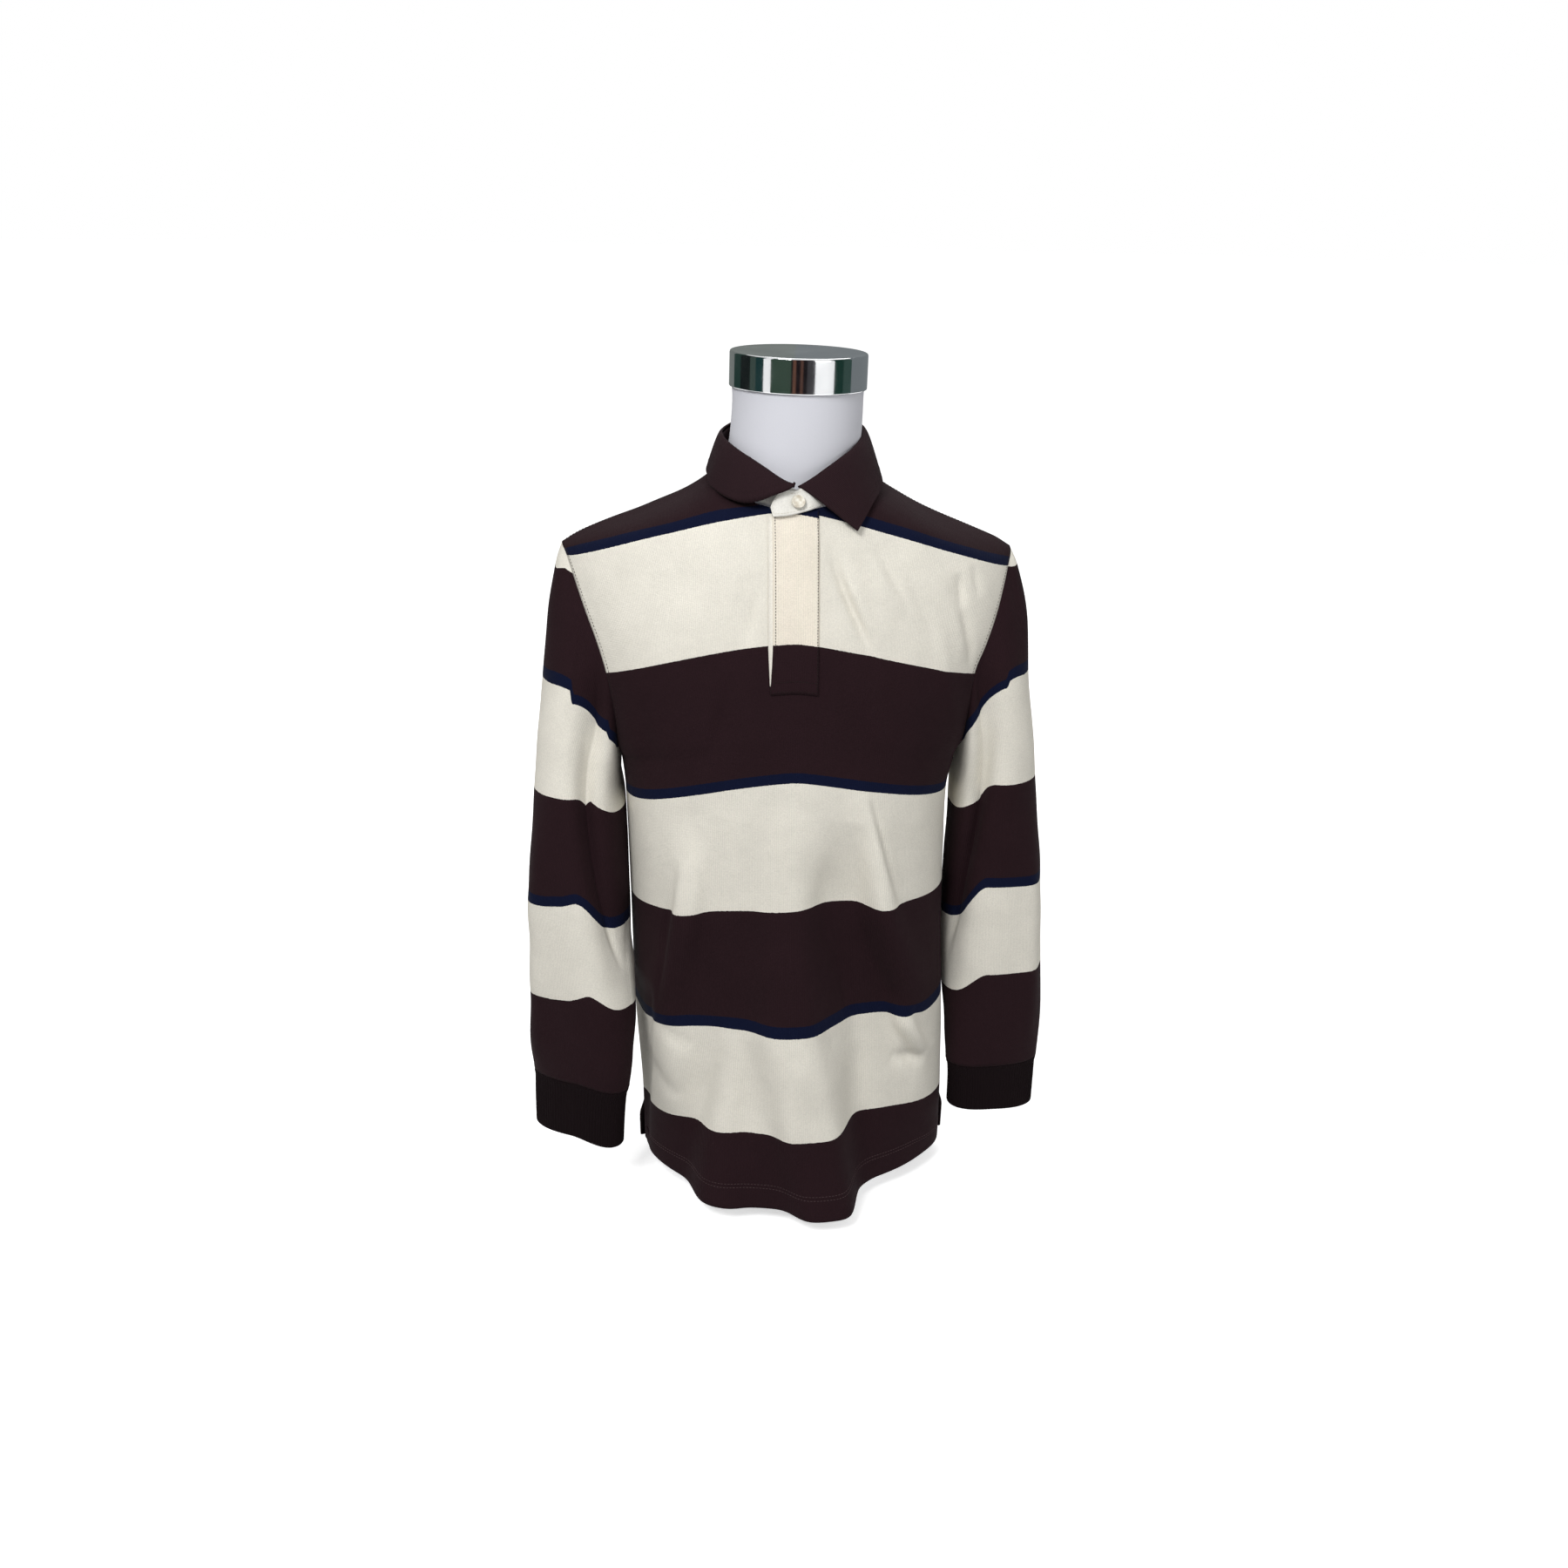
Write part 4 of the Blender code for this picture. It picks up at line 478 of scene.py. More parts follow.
def read(rows, columns, name, at, key=None):
    """Smooth curve through one column of a table, never overshooting its rows."""
    data = np.asarray(rows, float)
    x = data[:, columns.index(key) if key else 0]
    y = data[:, columns.index(name)]
    at = np.clip(np.asarray(at, float), x[0], x[-1])
    step, slope = np.diff(x), np.diff(y) / np.diff(x)
    bend = np.zeros(len(x))
    same = slope[:-1] * slope[1:] > 0
    weight = np.where(same, slope[:-1] * slope[1:], 0.0)
    bend[1:-1] = np.where(same, 2.0 * weight / np.where(same, slope[:-1] + slope[1:], 1.0), 0.0)
    bend[0], bend[-1] = slope[0], slope[-1]
    i = np.clip(np.searchsorted(x, at, side="right") - 1, 0, len(x) - 2)
    t = (at - x[i]) / step[i]
    return (
        (1 + 2 * t) * (1 - t) ** 2 * y[i]
        + t * (1 - t) ** 2 * step[i] * bend[i]
        + t * t * (3 - 2 * t) * y[i + 1]
        + t * t * (t - 1) * step[i] * bend[i + 1]
    )


def smooth(t):
    """Eases from 0 to 1 as t does."""
    t = np.clip(t, 0.0, 1.0)
    return t * t * (3.0 - 2.0 * t)


def unit(v):
    return v / np.linalg.norm(v, axis=-1, keepdims=True)


def fold_out(folds, x, v):
    """How far hanging folds stand out at (x, v)."""
    out = np.zeros_like(x)
    for rows in folds:
        low, high = rows[0][0], rows[-1][0]
        x_a, x_b, soft_a, soft_b, height = (read(rows, FOLD_COLUMNS, name, v) for name in FOLD_COLUMNS[1:])
        shape = 0.5 * (np.tanh((x - x_a) / soft_a) - np.tanh((x - x_b) / soft_b))
        out += np.where((v >= low) & (v <= high), height * shape, 0.0)
    return out


def crease_out(creases, x, v):
    """Depth at (x, v) of drag lines that run down the panel."""
    out = np.zeros_like(x)
    for v_a, x_a, v_b, x_b, half, depth in creases:
        along = (v_a - v) / (v_a - v_b)
        middle = x_a + (x_b - x_a) * along
        fade = np.sin(np.clip(along, 0.0, 1.0) * pi) ** 1.2
        out += depth * fade * np.exp(-(((x - middle) / half) ** 2))
    return out


def body_row(rows, folds, creases, s, v):
    """Point of a body panel from its share across (-1..1) and its height up the cloth."""
    s, v = np.broadcast_arrays(np.asarray(s, float), np.asarray(v, float))
    col = {name: read(rows, PANEL_COLUMNS, name, v) for name in PANEL_COLUMNS[1:]}
    left = s > 0
    x_e = np.where(left, col["x_l"], col["x_r"])
    z_e = np.where(left, col["z_l"], col["z_r"])
    share = np.abs(s) * (1 - col["turn"]) + np.sin(np.abs(s) * pi / 2) * col["turn"]
    k = share * col["reach"]
    x = col["x_m"] + (x_e - col["x_m"]) * share
    bulge = np.clip(1 - k ** col["full"], 0, 1) ** (1 / col["full"])
    y = col["y_side"] + (col["y_m"] - col["y_side"]) * bulge
    z = col["z_m"] + (z_e - col["z_m"]) * share ** np.where(left, col["sag_l"], col["sag_r"])
    side = -1.0 if rows is FRONT_ROWS else 1.0
    edge = 1 - np.abs(s) ** 6
    out = (fold_out(folds, x, v) + crease_out(creases, x, v)) * edge
    lean = 0.75 * k**3
    length = np.sqrt(lean**2 + 1)
    x = x + out * np.where(left, 1, -1) * lean / length
    y = y + side * out / length
    return np.stack([x, y, z], -1)


def top_edge(side, s):
    """Shoulder seams and neckline: the point, the cloth height and the way the cloth arrives."""
    s = np.asarray(s, float)
    a = np.abs(s)
    share = np.clip((a - NECK_SHARE) / (1 - NECK_SHARE), 0, 1)
    tip_x = np.where(s > 0, LEFT_TIP_X, -RIGHT_TIP_X)
    z_side = np.where(
        s > 0,
        read(SHOULDER, SHOULDER_COLUMNS, "z_left", share),
        read(SHOULDER, SHOULDER_COLUMNS, "z_right", share),
    )
    x_side = np.sign(s) * (NECK_POINT_X + (tip_x - NECK_POINT_X) * share)
    turn = np.clip(s / NECK_SHARE, -1, 1) * pi / 2
    c = np.cos(turn)
    if side < 0:
        x_neck = NECK_CENTRE_X * c + NECK_POINT_X * np.sin(turn)
        y_neck = SEAM_Y + (NECK_FRONT_Y - SEAM_Y) * c
        z_neck = NECK_POINT_Z + (NECK_FRONT_Z - NECK_POINT_Z) * c**1.3
        v_tip, v_point, depth = FRONT_TIP_V, FRONT_NECK_POINT_V, FRONT_NECK_DEPTH
    else:
        x_neck = NECK_POINT_X * np.sin(turn)
        y_neck = SEAM_Y + (NECK_BACK_Y - SEAM_Y) * c
        z_neck = NECK_POINT_Z + (NECK_BACK_Z - NECK_POINT_Z) * c
        v_tip, v_point, depth = BACK_TIP_V, BACK_NECK_POINT_V, BACK_NECK_DEPTH
    on_neck = a < NECK_SHARE
    point = np.stack(
        [
            np.where(on_neck, x_neck, x_side),
            np.where(on_neck, y_neck, SEAM_Y) + side * SHOULDER_GAP / 2,
            np.where(on_neck, z_neck, z_side),
        ],
        -1,
    )
    v = np.where(on_neck, v_point - depth * c, v_point + (v_tip - v_point) * share)
    rise = SEAM_RISE + np.where(on_neck, NECK_RISE * c, 0.0)
    arrive = np.stack([np.zeros_like(s), -side * np.ones_like(s), rise], -1)
    arrive = unit(arrive)
    return point, v, arrive


def body_point(side, s, v=None, top_share=None):
    """A panel point below the chest line, or on the cap above it that ends at the top edge."""
    rows, folds, creases = (
        (FRONT_ROWS, FRONT_FOLDS, FRONT_CREASES) if side < 0 else (BACK_ROWS, BACK_FOLDS, BACK_CREASES)
    )
    if top_share is None:
        return body_row(rows, folds, creases, s, v)
    start = body_row(rows, folds, creases, s, CHEST_LINE_V)
    below = body_row(rows, folds, creases, s, CHEST_LINE_V - 8.0)
    end, v_end, arrive = top_edge(side, s)
    length = (v_end - CHEST_LINE_V)[..., None]
    leave = (start - below) / 8.0 * length
    t = top_share
    return (
        (1 + 2 * t) * (1 - t) ** 2 * start
        + t * (1 - t) ** 2 * leave
        + t * t * (3 - 2 * t) * end
        + t * t * (t - 1) * arrive * length
    )


def grid_faces(rows, cols, closed=False, keep=None):
    """Faces between the points of a grid, row by row."""
    faces = []
    for i in range(rows - 1):
        for j in range(cols if closed else cols - 1):
            if keep is None or keep(i, j):
                k = (j + 1) % cols
                faces.append((i * cols + j, i * cols + k, (i + 1) * cols + k, (i + 1) * cols + j))
    return faces


def sleeve_tube(rows, grooves, hand, angle, v):
    """Point of the endless sleeve tube; angle 0 is the side against the body, 90 the front."""
    angle, v = np.broadcast_arrays(np.asarray(angle, float), np.asarray(v, float))
    col = {name: read(rows, SLEEVE_COLUMNS, name, v) for name in SLEEVE_COLUMNS[1:]}
    c, s = np.cos(angle), np.sin(angle)
    out = np.zeros_like(c)
    for line in grooves:
        middle, half, depth = (read(line, GROOVE_COLUMNS, name, v) for name in GROOVE_COLUMNS[1:])
        away = (np.degrees(angle) - middle + 180) % 360 - 180
        out += depth * np.exp(-((away / half) ** 2))
    square = 2 / 2.2
    flat_x = (col["half_x"] + out) * np.sign(c) * np.abs(c) ** square
    flat_y = -(col["half_y"] + out) * np.sign(s) * np.abs(s) ** square
    turn = np.radians(col["turn"])
    dx = flat_x * np.cos(turn) + flat_y * np.sin(turn)
    dy = -flat_x * np.sin(turn) + flat_y * np.cos(turn)
    fall = smooth((c - col["from_cos"]) / (1.0 - col["from_cos"]))
    return np.stack([col["x_c"] - hand * dx, col["y_c"] + dy, col["z"] - col["drop"] * fall], -1)


def neck_ring(turn):
    """Neck seam; turn 0 at the centre front, 90 degrees at the wearer's right neck point."""
    turn = np.radians(np.asarray(turn, float))
    c = np.cos(turn)
    front = c > 0
    x = -NECK_POINT_X * np.sin(turn) + np.where(front, NECK_CENTRE_X * c, 0.0)
    y = SEAM_Y + np.where(front, (NECK_FRONT_Y - SEAM_Y) * c, -(NECK_BACK_Y - SEAM_Y) * c)
    rise = np.abs(c)
    z = np.where(
        front,
        NECK_POINT_Z + (NECK_FRONT_Z - NECK_POINT_Z) * rise**1.3,
        NECK_POINT_Z + (NECK_BACK_Z - NECK_POINT_Z) * rise,
    )
    return np.stack([x, y, z], -1)


def stand_frame(turn):
    """Foot point, outward and upward directions and height of the collar stand."""
    foot = neck_ring(turn)
    ahead = neck_ring(np.asarray(turn) + 0.5) - neck_ring(np.asarray(turn) - 0.5)
    ahead = unit(ahead)
    out = np.stack([-ahead[..., 1], ahead[..., 0], np.zeros(ahead.shape[:-1])], -1)
    out = unit(out)
    inward = STAND_LEAN * (1 + np.cos(np.radians(turn)) ** 2)
    up = np.stack([-out[..., 0] * inward, -out[..., 1] * inward, np.ones_like(out[..., 0])], -1)
    up = unit(up)
    from_front = np.abs((np.asarray(turn) + 180.0) % 360.0 - 180.0)
    height = read(STAND_HEIGHTS, STAND_COLUMNS, "height", from_front)
    height = height - STAND_SLUMP * np.exp(-(((np.asarray(turn) - SLUMP_TURN) / SLUMP_HALF) ** 2))
    return foot, out, up, height


def front_at(s, v, top_share):
    """Front panel point below the chest line, or above it where top_share is over 0."""
    if top_share > 0:
        depth = top_edge(-1, s)[1] - CHEST_LINE_V
        return body_point(-1, s, top_share=(top_share * (1 - NECKLINE_INSET / depth))[:, None])
    return body_point(-1, s, v=np.full(len(s), float(v)))


def front_band(u_left, u_right, out, levels, steps):
    """Straight strip on the front panel between two widths, moved out from its points."""
    grid = []
    for v, top_share in levels:
        goal = NECK_CENTRE_X + np.linspace(u_left(v), u_right, steps + 1) * PLACKET_SPREAD
        s = (goal - NECK_CENTRE_X) / FRONT_HALF
        for _ in range(4):
            s = s + (goal - front_at(s, v, top_share)[:, 0]) / FRONT_HALF * 0.8
        here = front_at(s, v, top_share)
        across = front_at(s + 0.004, v, top_share) - front_at(s - 0.004, v, top_share)
        rise = here - (front_at(s, v - 3, 0) if top_share == 0 else front_at(s, CHEST_LINE_V, 0))
        normal = np.cross(across, rise)
        normal = unit(normal)
        grid.append(here + normal * out)
    return np.array(grid)


def lathe(profile, steps):
    """Closed surface of revolution; the first and last profile points are on the axis."""
    points = [(0.0, 0.0, profile[0][1])]
    for radius, z in profile[1:-1]:
        points += [
            (radius * cos(2 * pi * k / steps), radius * sin(2 * pi * k / steps), z) for k in range(steps)
        ]
    points.append((0.0, 0.0, profile[-1][1]))
    rings, last = len(profile) - 2, len(points) - 1
    faces = [(0, 1 + (k + 1) % steps, 1 + k) for k in range(steps)]
    for i in range(rings - 1):
        a, b = 1 + i * steps, 1 + (i + 1) * steps
        faces += [(a + k, a + (k + 1) % steps, b + (k + 1) % steps, b + k) for k in range(steps)]
    tail = 1 + (rings - 1) * steps
    faces += [(tail + k, tail + (k + 1) % steps, last) for k in range(steps)]
    return np.array(points), faces


def add_object(name, points, faces, mat):
    """Smooth-shaded mesh object from points in mm."""
    mesh = bpy.data.meshes.new(name)
    mesh.from_pydata((np.asarray(points) * MM).tolist(), [], faces)
    mesh.polygons.foreach_set("use_smooth", np.ones(len(faces), bool))
    mesh.update()
    mesh.materials.append(mat)
    obj = bpy.data.objects.new(name, mesh)
    bpy.context.scene.collection.objects.link(obj)
    return obj


def sheet_mesh(name, grid, flat, mat, wall, closed=False, flip=False, keep=None):
    """Cloth from a grid of points in mm with its flat pattern (mm) as the UV map."""
    rows, cols = grid.shape[:2]
    faces = np.array(grid_faces(rows, cols, closed, keep))
    corners = (flat.reshape(-1, 2) * MM)[faces]
    if closed:
        # The last column's faces end a whole turn further on in the flat pattern
        wraps = faces[:, 1] % cols == 0
        row = faces[wraps, 0] // cols
        corners[wraps, 1:3, 0] += ((flat[row, 1, 0] - flat[row, 0, 0]) * MM * cols)[:, None]
    if flip:
        faces, corners = faces[:, ::-1], corners[:, ::-1]
    obj = add_object(name, grid.reshape(-1, 3), faces.tolist(), mat)
    layer = obj.data.uv_layers.new(name="flat")
    layer.data.foreach_set("uv", corners.astype(np.float32).ravel())
    if wall:
        solid = obj.modifiers.new("wall", "SOLIDIFY")
        solid.thickness = wall * MM
        solid.offset = 0.0
        solid.use_rim = True
    return obj


def run_along(line):
    """Length along a line of points, from 0 at its first."""
    return np.concatenate([[0], np.cumsum(np.linalg.norm(np.diff(line, axis=0), axis=1))])


def grid_normal(grid, closed=False):
    """Unit normals of a grid, by its neighbours; columns run across and rows up the cloth."""
    if closed:
        across = np.roll(grid, -1, axis=1) - np.roll(grid, 1, axis=1)
    else:
        across = np.gradient(grid, axis=1)
    along = np.gradient(grid, axis=0)
    normal = np.cross(across, along)
    return normal / np.maximum(np.linalg.norm(normal, axis=-1, keepdims=True), 1e-9)


def ripple(x, v):
    """Slight unevenness of hanging jersey, in mm."""
    return (
        0.42 * np.sin(x / 17.0 + 0.9 * np.sin(v / 61.0)) * np.sin(v / 83.0 + x / 120.0)
        + 0.26 * np.sin(x / 9.5 + 1.3 * np.sin(v / 34.0) + v / 47.0)
        + 0.16 * np.sin(v / 12.0 + 1.7 * np.sin(x / 23.0))
    )


def creased(lines, x, v):
    """Depth at (x, v) of crisp creases that fade towards both ends."""
    out = np.zeros(np.broadcast(x, v).shape)
    for x_a, v_a, x_b, v_b, half, depth in lines:
        length = np.hypot(x_b - x_a, v_b - v_a)
        along = ((x - x_a) * (x_b - x_a) + (v - v_a) * (v_b - v_a)) / length**2
        apart = ((x - x_a) * (v_b - v_a) - (v - v_a) * (x_b - x_a)) / length
        fade = np.sin(np.clip(along, 0.0, 1.0) * pi) ** 0.8
        out += depth * fade * np.exp(-((apart / half) ** 2))
    return out


def edge_calm(side, s, x, height, v_end):
    """0 at a panel's edges and under the placket, where creases die out, and 1 elsewhere."""
    calm = smooth((1 - np.abs(s) - 0.035) / 0.06)[None, :] * smooth((height - 30) / 20.0)
    calm = calm * smooth((v_end[None, :] - height) / 30.0)
    if side < 0:
        beside_placket = smooth((np.abs(x - NECK_CENTRE_X) - 26.0) / 14.0)
        calm = calm * (1 - (1 - beside_placket) * smooth((height - 500.0) / 25.0))
    return calm


def body_sheet(name, side, columns, low_rows, arm_rows, top_rows, mat):
    """Body panel with creases and a turned-up hem; side is -1 in front."""
    half = np.linspace(SLIT_HALF, 1, columns // 2 + 1)
    s = np.concatenate([-half[::-1], half])
    levels = np.concatenate([
        np.linspace(0, UNDERARM_V, low_rows + 1),
        np.linspace(UNDERARM_V, CHEST_LINE_V, arm_rows + 1)[1:],
    ])
    low = body_point(side, s[None, :], v=levels[:, None])
    shares = np.linspace(0, 1, top_rows + 1)[1:]
    top = [body_point(side, s, top_share=t) for t in shares]
    v_end = top_edge(side, s)[1]
    grid = np.concatenate([low, np.array(top)])
    height = np.concatenate([
        np.repeat(levels[:, None], len(s), axis=1),
        CHEST_LINE_V + (v_end - CHEST_LINE_V)[None, :] * shares[:, None],
    ])
    u = run_along(low[low_rows // 2])
    u = u - u[len(u) // 2] + BODY_FLAT_FROM
    wide = np.repeat(u[None, :], len(grid), axis=0)
    if side > 0:
        corner = smooth((np.abs(s) - 0.86) / 0.12)[None, :] * smooth((VENT_V - height) / 30.0)
        grid[..., 0] += np.sign(s) * corner * VENT_OUT
    normal = grid_normal(grid) * -side
    lines = CREASE_LINES if side < 0 else BACK_CREASE_LINES
    calm = edge_calm(side, s, grid[..., 0], height, v_end)
    out = (ripple(grid[..., 0], height) + creased(lines, grid[..., 0], height)) * calm
    if side < 0:
        out += fold_out([SIDE_FOLD], grid[..., 0], height) * (1 - np.abs(s) ** 12)[None, :]
    moved = grid + normal * out[..., None]
    inner = []
    for v, depth in HEM_TURN:
        here = body_point(side, s[None, :], v=np.array([[v]]))[0]
        inner.append(here - normal[np.searchsorted(levels, v)] * depth)
    bottom = moved[0] - normal[0] * HEM_BACK
    bottom[:, 2] -= HEM_DOWN
    grid = np.concatenate([np.array(inner), bottom[None], moved])
    slit, turned = len(half) - 1, len(HEM_TURN) + 1
    up = np.array([v for v, depth in HEM_TURN] + [0.0])
    flat_v = np.concatenate([np.repeat(up[:, None], len(s), axis=1), height])
    flat = np.stack([np.concatenate([wide[:turned], wide]), flat_v], -1)

    def keep(i, j):
        return not (side < 0 and j == slit and i >= turned and height[i - turned, 0] >= SLIT_FOOT_V)

    obj = sheet_mesh(name, grid, flat, mat, CLOTH, flip=side > 0, keep=keep)
    return obj, grid, grid_normal(grid) * -side, height, s


def level_at(i):
    """Cloth height and top share at a fractional place along the armhole list of levels."""
    places = np.array([UNDERARM_V, *ARMHOLE_LEVELS], float)
    table = np.stack([np.arange(len(places)), places], -1)
    last = len(places) - 1
    v = read(table, ("i", "v"), "v", np.minimum(i, last))
    shares = np.stack([np.arange(last, last + 4), np.array([0.0, *TOP_SHARES])], -1)
    t = read(shares, ("i", "t"), "t", np.maximum(i, last))
    return v, np.where(i > last, t, 0.0)


def armhole_side(side, s, places):
    """Points of one panel along its armhole."""
    pts = []
    v, t = level_at(places)
    for v_here, t_here in zip(v, t):
        if t_here > 0:
            pts.append(body_point(side, s, top_share=float(t_here))[0])
        else:
            pts.append(body_point(side, s, v=np.array([v_here]))[0])
    return pts


def armhole_loop(s_value, steps):
    """Loop of body points at one share across: underarm, front, tip, back."""
    s = np.array([s_value])
    places = np.linspace(0, len(ARMHOLE_LEVELS) + len(TOP_SHARES), steps // 2 + 1)
    front, back = armhole_side(-1, s, places), armhole_side(1, s, places)
    tip = (front[-1] + back[-1]) / 2
    base = (front[0] + back[0]) / 2
    return np.array([base] + front[1:-1] + [tip] + back[-2:0:-1])


def sleeve_points(hand, steps, shares):
    """Sleeve from inside its armhole seam to the cuff, its cloth heights and its angles."""
    if hand > 0:
        rows, grooves = LEFT_SLEEVE_ROWS, (*LEFT_GROOVES, LEFT_SLEEVE_CREASE)
    else:
        rows, grooves = RIGHT_SLEEVE_ROWS, (*RIGHT_GROOVES, RIGHT_SLEEVE_CREASE)
    ring = armhole_loop(float(hand), steps)
    beside = armhole_loop(BESIDE_EDGE * hand, steps)
    beside[0] = ring[0] - [0, 0, UNDERARM_DROP]
    angle = np.linspace(0, 2 * pi, steps, endpoint=False)
    v_ring = SLEEVE_UNDERARM_V + (CAP_TOP_V - SLEEVE_UNDERARM_V) * np.sin(angle / 2) ** 2
    at_ring = sleeve_tube(rows, grooves, hand, angle, v_ring)
    grid, height = [], []
    for share in shares:
        v = v_ring * (1 - share)
        hold = 1 - smooth((v_ring - v) / CAP_BLEND)
        grid.append(sleeve_tube(rows, grooves, hand, angle, v) + (ring - at_ring) * hold[:, None])
        height.append(v)
    grid, height = np.array(grid), np.array(height)
    along = np.roll(ring, -1, axis=0) - np.roll(ring, 1, axis=0)
    along = unit(along)
    away = ring - beside
    away -= along * (away * along).sum(axis=1, keepdims=True)
    away = unit(away)
    face = np.cross(along, away) * -hand
    tuck = ring - away * TUCK_IN - face * TUCK_UNDER
    grid[0] = ring + away * SEAM_CLEAR - face * SEAM_UNDER
    grid = np.concatenate([tuck[None], grid])
    height = np.concatenate([height[:1] + TUCK_IN, height])
    return grid, height, angle


def stripe_shift(hand, angle, height):
    """Shift of the stripes along the cloth, by angle and height; it fades out behind."""
    table = LEFT_SLEEVE_SHIFT if hand > 0 else RIGHT_SLEEVE_SHIFT
    around = np.degrees(angle)
    levels = np.array([row[0] for row in table], float)
    in_front = np.array([np.interp(around, SHIFT_ANGLES, row[1:]) for row in table])
    behind = smooth((around - 290.0) / 60.0)[None, :] * in_front[:, :1]
    rows = np.where(around[None, :] > 180.0, behind, in_front)
    out = np.empty(height.shape)
    for k in range(len(around)):
        out[:, k] = np.interp(height[:, k], levels, rows[:, k])
    return out


def sleeve_sheet(name, hand, steps, mat):
    """Sleeve with its unevenness and its flat pattern."""
    shares = np.concatenate([np.linspace(0, 0.06, 9)[:-1], np.linspace(0.06, 1, 140)])
    grid, height, angle = sleeve_points(hand, steps, shares)
    normal = grid_normal(grid, closed=True)
    outward = np.sign(((grid - grid.mean(axis=1, keepdims=True)) * normal).sum())
    row = np.arange(len(grid))[:, None]
    fade = smooth(row / 10.0) * smooth((len(grid) - 1 - row) / 6.0)
    bump = ripple(angle[None, :] * SLEEVE_RADIUS + hand * SLEEVE_RADIUS / 2, height) * fade
    grid = grid + normal * outward * bump[..., None]
    around = np.repeat((angle * SLEEVE_RADIUS + FLAT_FROM)[None, :], len(grid), axis=0)
    flat = np.stack([around, height + stripe_shift(hand, angle, height)], -1)
    obj = sheet_mesh(name, grid, flat, mat, CLOTH, closed=True, flip=outward < 0)
    return obj, grid


def cuff_sheet(name, hand, sleeve_end, mat):
    """Ribbed band folded double, on the end of the sleeve."""
    rows = RIGHT_CUFF_ROWS if hand < 0 else LEFT_CUFF_ROWS
    count = CUFF_RIBS * RIB_STEPS
    index = np.linspace(0, len(sleeve_end), count, endpoint=False)
    ring = np.concatenate([sleeve_end, sleeve_end[:1]])
    low = np.floor(index).astype(int)
    part = (index - low)[:, None]
    end = ring[low] * (1 - part) + ring[low + 1] * part
    centre = end.mean(axis=0)
    spoke = end - centre
    spoke[:, 2] = 0
    spoke = unit(spoke)
    rib = RIB_HIGH * np.cos(2 * pi * np.arange(count) / RIB_STEPS)
    outer, inner = [], []
    shares = np.concatenate([[0, 0.02, 0.045], np.linspace(0.08, 0.965, 22), [0.98, 0.992, 1.0]])
    for share in shares:
        shift, shrink, down, tilt = (read(rows, CUFF_COLUMNS, key, share) for key in CUFF_COLUMNS[1:])
        base = end - spoke * (shrink + 0.7 * (share == 0))
        base[:, 0] += shift
        base[:, 2] -= down - 1.7 * (share == 0) + tilt * (centre[0] - end[:, 0]) * hand / CUFF_HALF
        top = smooth(share / 0.04)
        foot = np.sqrt(np.clip(1 - np.clip(1 - (1 - share) / 0.03, 0, 1) ** 2, 0, 1))
        outer.append(base + spoke * ((CUFF_PLY * top + rib * top) * foot)[:, None])
        inner.append(base - spoke * CUFF_PLY * foot)
    grid = np.array(outer + inner[-2::-1])
    around = np.repeat((np.arange(count) / count * CUFF_ROUND + FLAT_FROM)[None, :], len(grid), axis=0)
    drop = np.linspace(0, CUFF_CUT, len(grid))
    flat = np.stack([around, np.repeat(drop[:, None], count, axis=1)], -1)
    normal = grid_normal(grid[: len(outer)], closed=True)
    outward = (normal * spoke[None]).sum() > 0
    return sheet_mesh(name, grid, flat, mat, None, closed=True, flip=not outward)


def fall_grid(steps, across, roll_rows):
    """Collar leaf, from the fold over its stand to its rolled edge."""
    turn = np.linspace(FALL_ROWS[0][0], FALL_ROWS[-1][0], steps + 1)
    foot, out, up, height = stand_frame(turn)
    start = foot + up * (height + FALL_LIFT)[:, None] - out * FALL_INSET
    edge = np.stack([read(FALL_ROWS, FALL_COLUMNS, name, turn) for name in ("x", "y", "z")], -1)
    roll, crown, swell = (
        read(FALL_ROWS, FALL_COLUMNS, name, turn)[:, None] for name in ("roll", "crown", "swell")
    )
    first = start + up * FALL_RISE + out * crown
    second = (edge + start) * 0.5 + up * FALL_SHOULDER + out * swell
    grid = []
    for t in np.linspace(0, 1, across + 1):
        over = (1 - t) ** 3 * start + 3 * t * (1 - t) ** 2 * first
        grid.append(over + 3 * t * t * (1 - t) * second + t**3 * edge)
    back = round(across / 3.5)
    down = unit(grid[-1] - grid[-1 - back])
    places = np.linspace(0, 3, roll_rows + 1)[1:]
    for place in places:
        bend = radians(np.interp(place, (0, 1, 2, 3), (0.0, *ROLL_ANGLES)))
        turn_in = down * sin(bend) - out * (1 - cos(bend))
        reach = ROLL_SIZE * min(place, 1.0) * turn_in - out * ROLL_IN * max(place - 1, 0)
        grid.append(edge + reach * roll + down * (ROLL_STEP * place * (1 - roll)))
    return np.array(grid)


def flat_of(grid):
    """Flat pattern of a strip: width along its middle row, height down each column."""
    rows, cols = grid.shape[:2]
    u = run_along(grid[rows // 2]) + FLAT_FROM
    drop = np.linalg.norm(np.diff(grid, axis=0), axis=2)
    v = np.concatenate([np.zeros((1, cols)), np.cumsum(drop, axis=0)])
    return np.stack([np.repeat(u[None], rows, axis=0), v], -1)


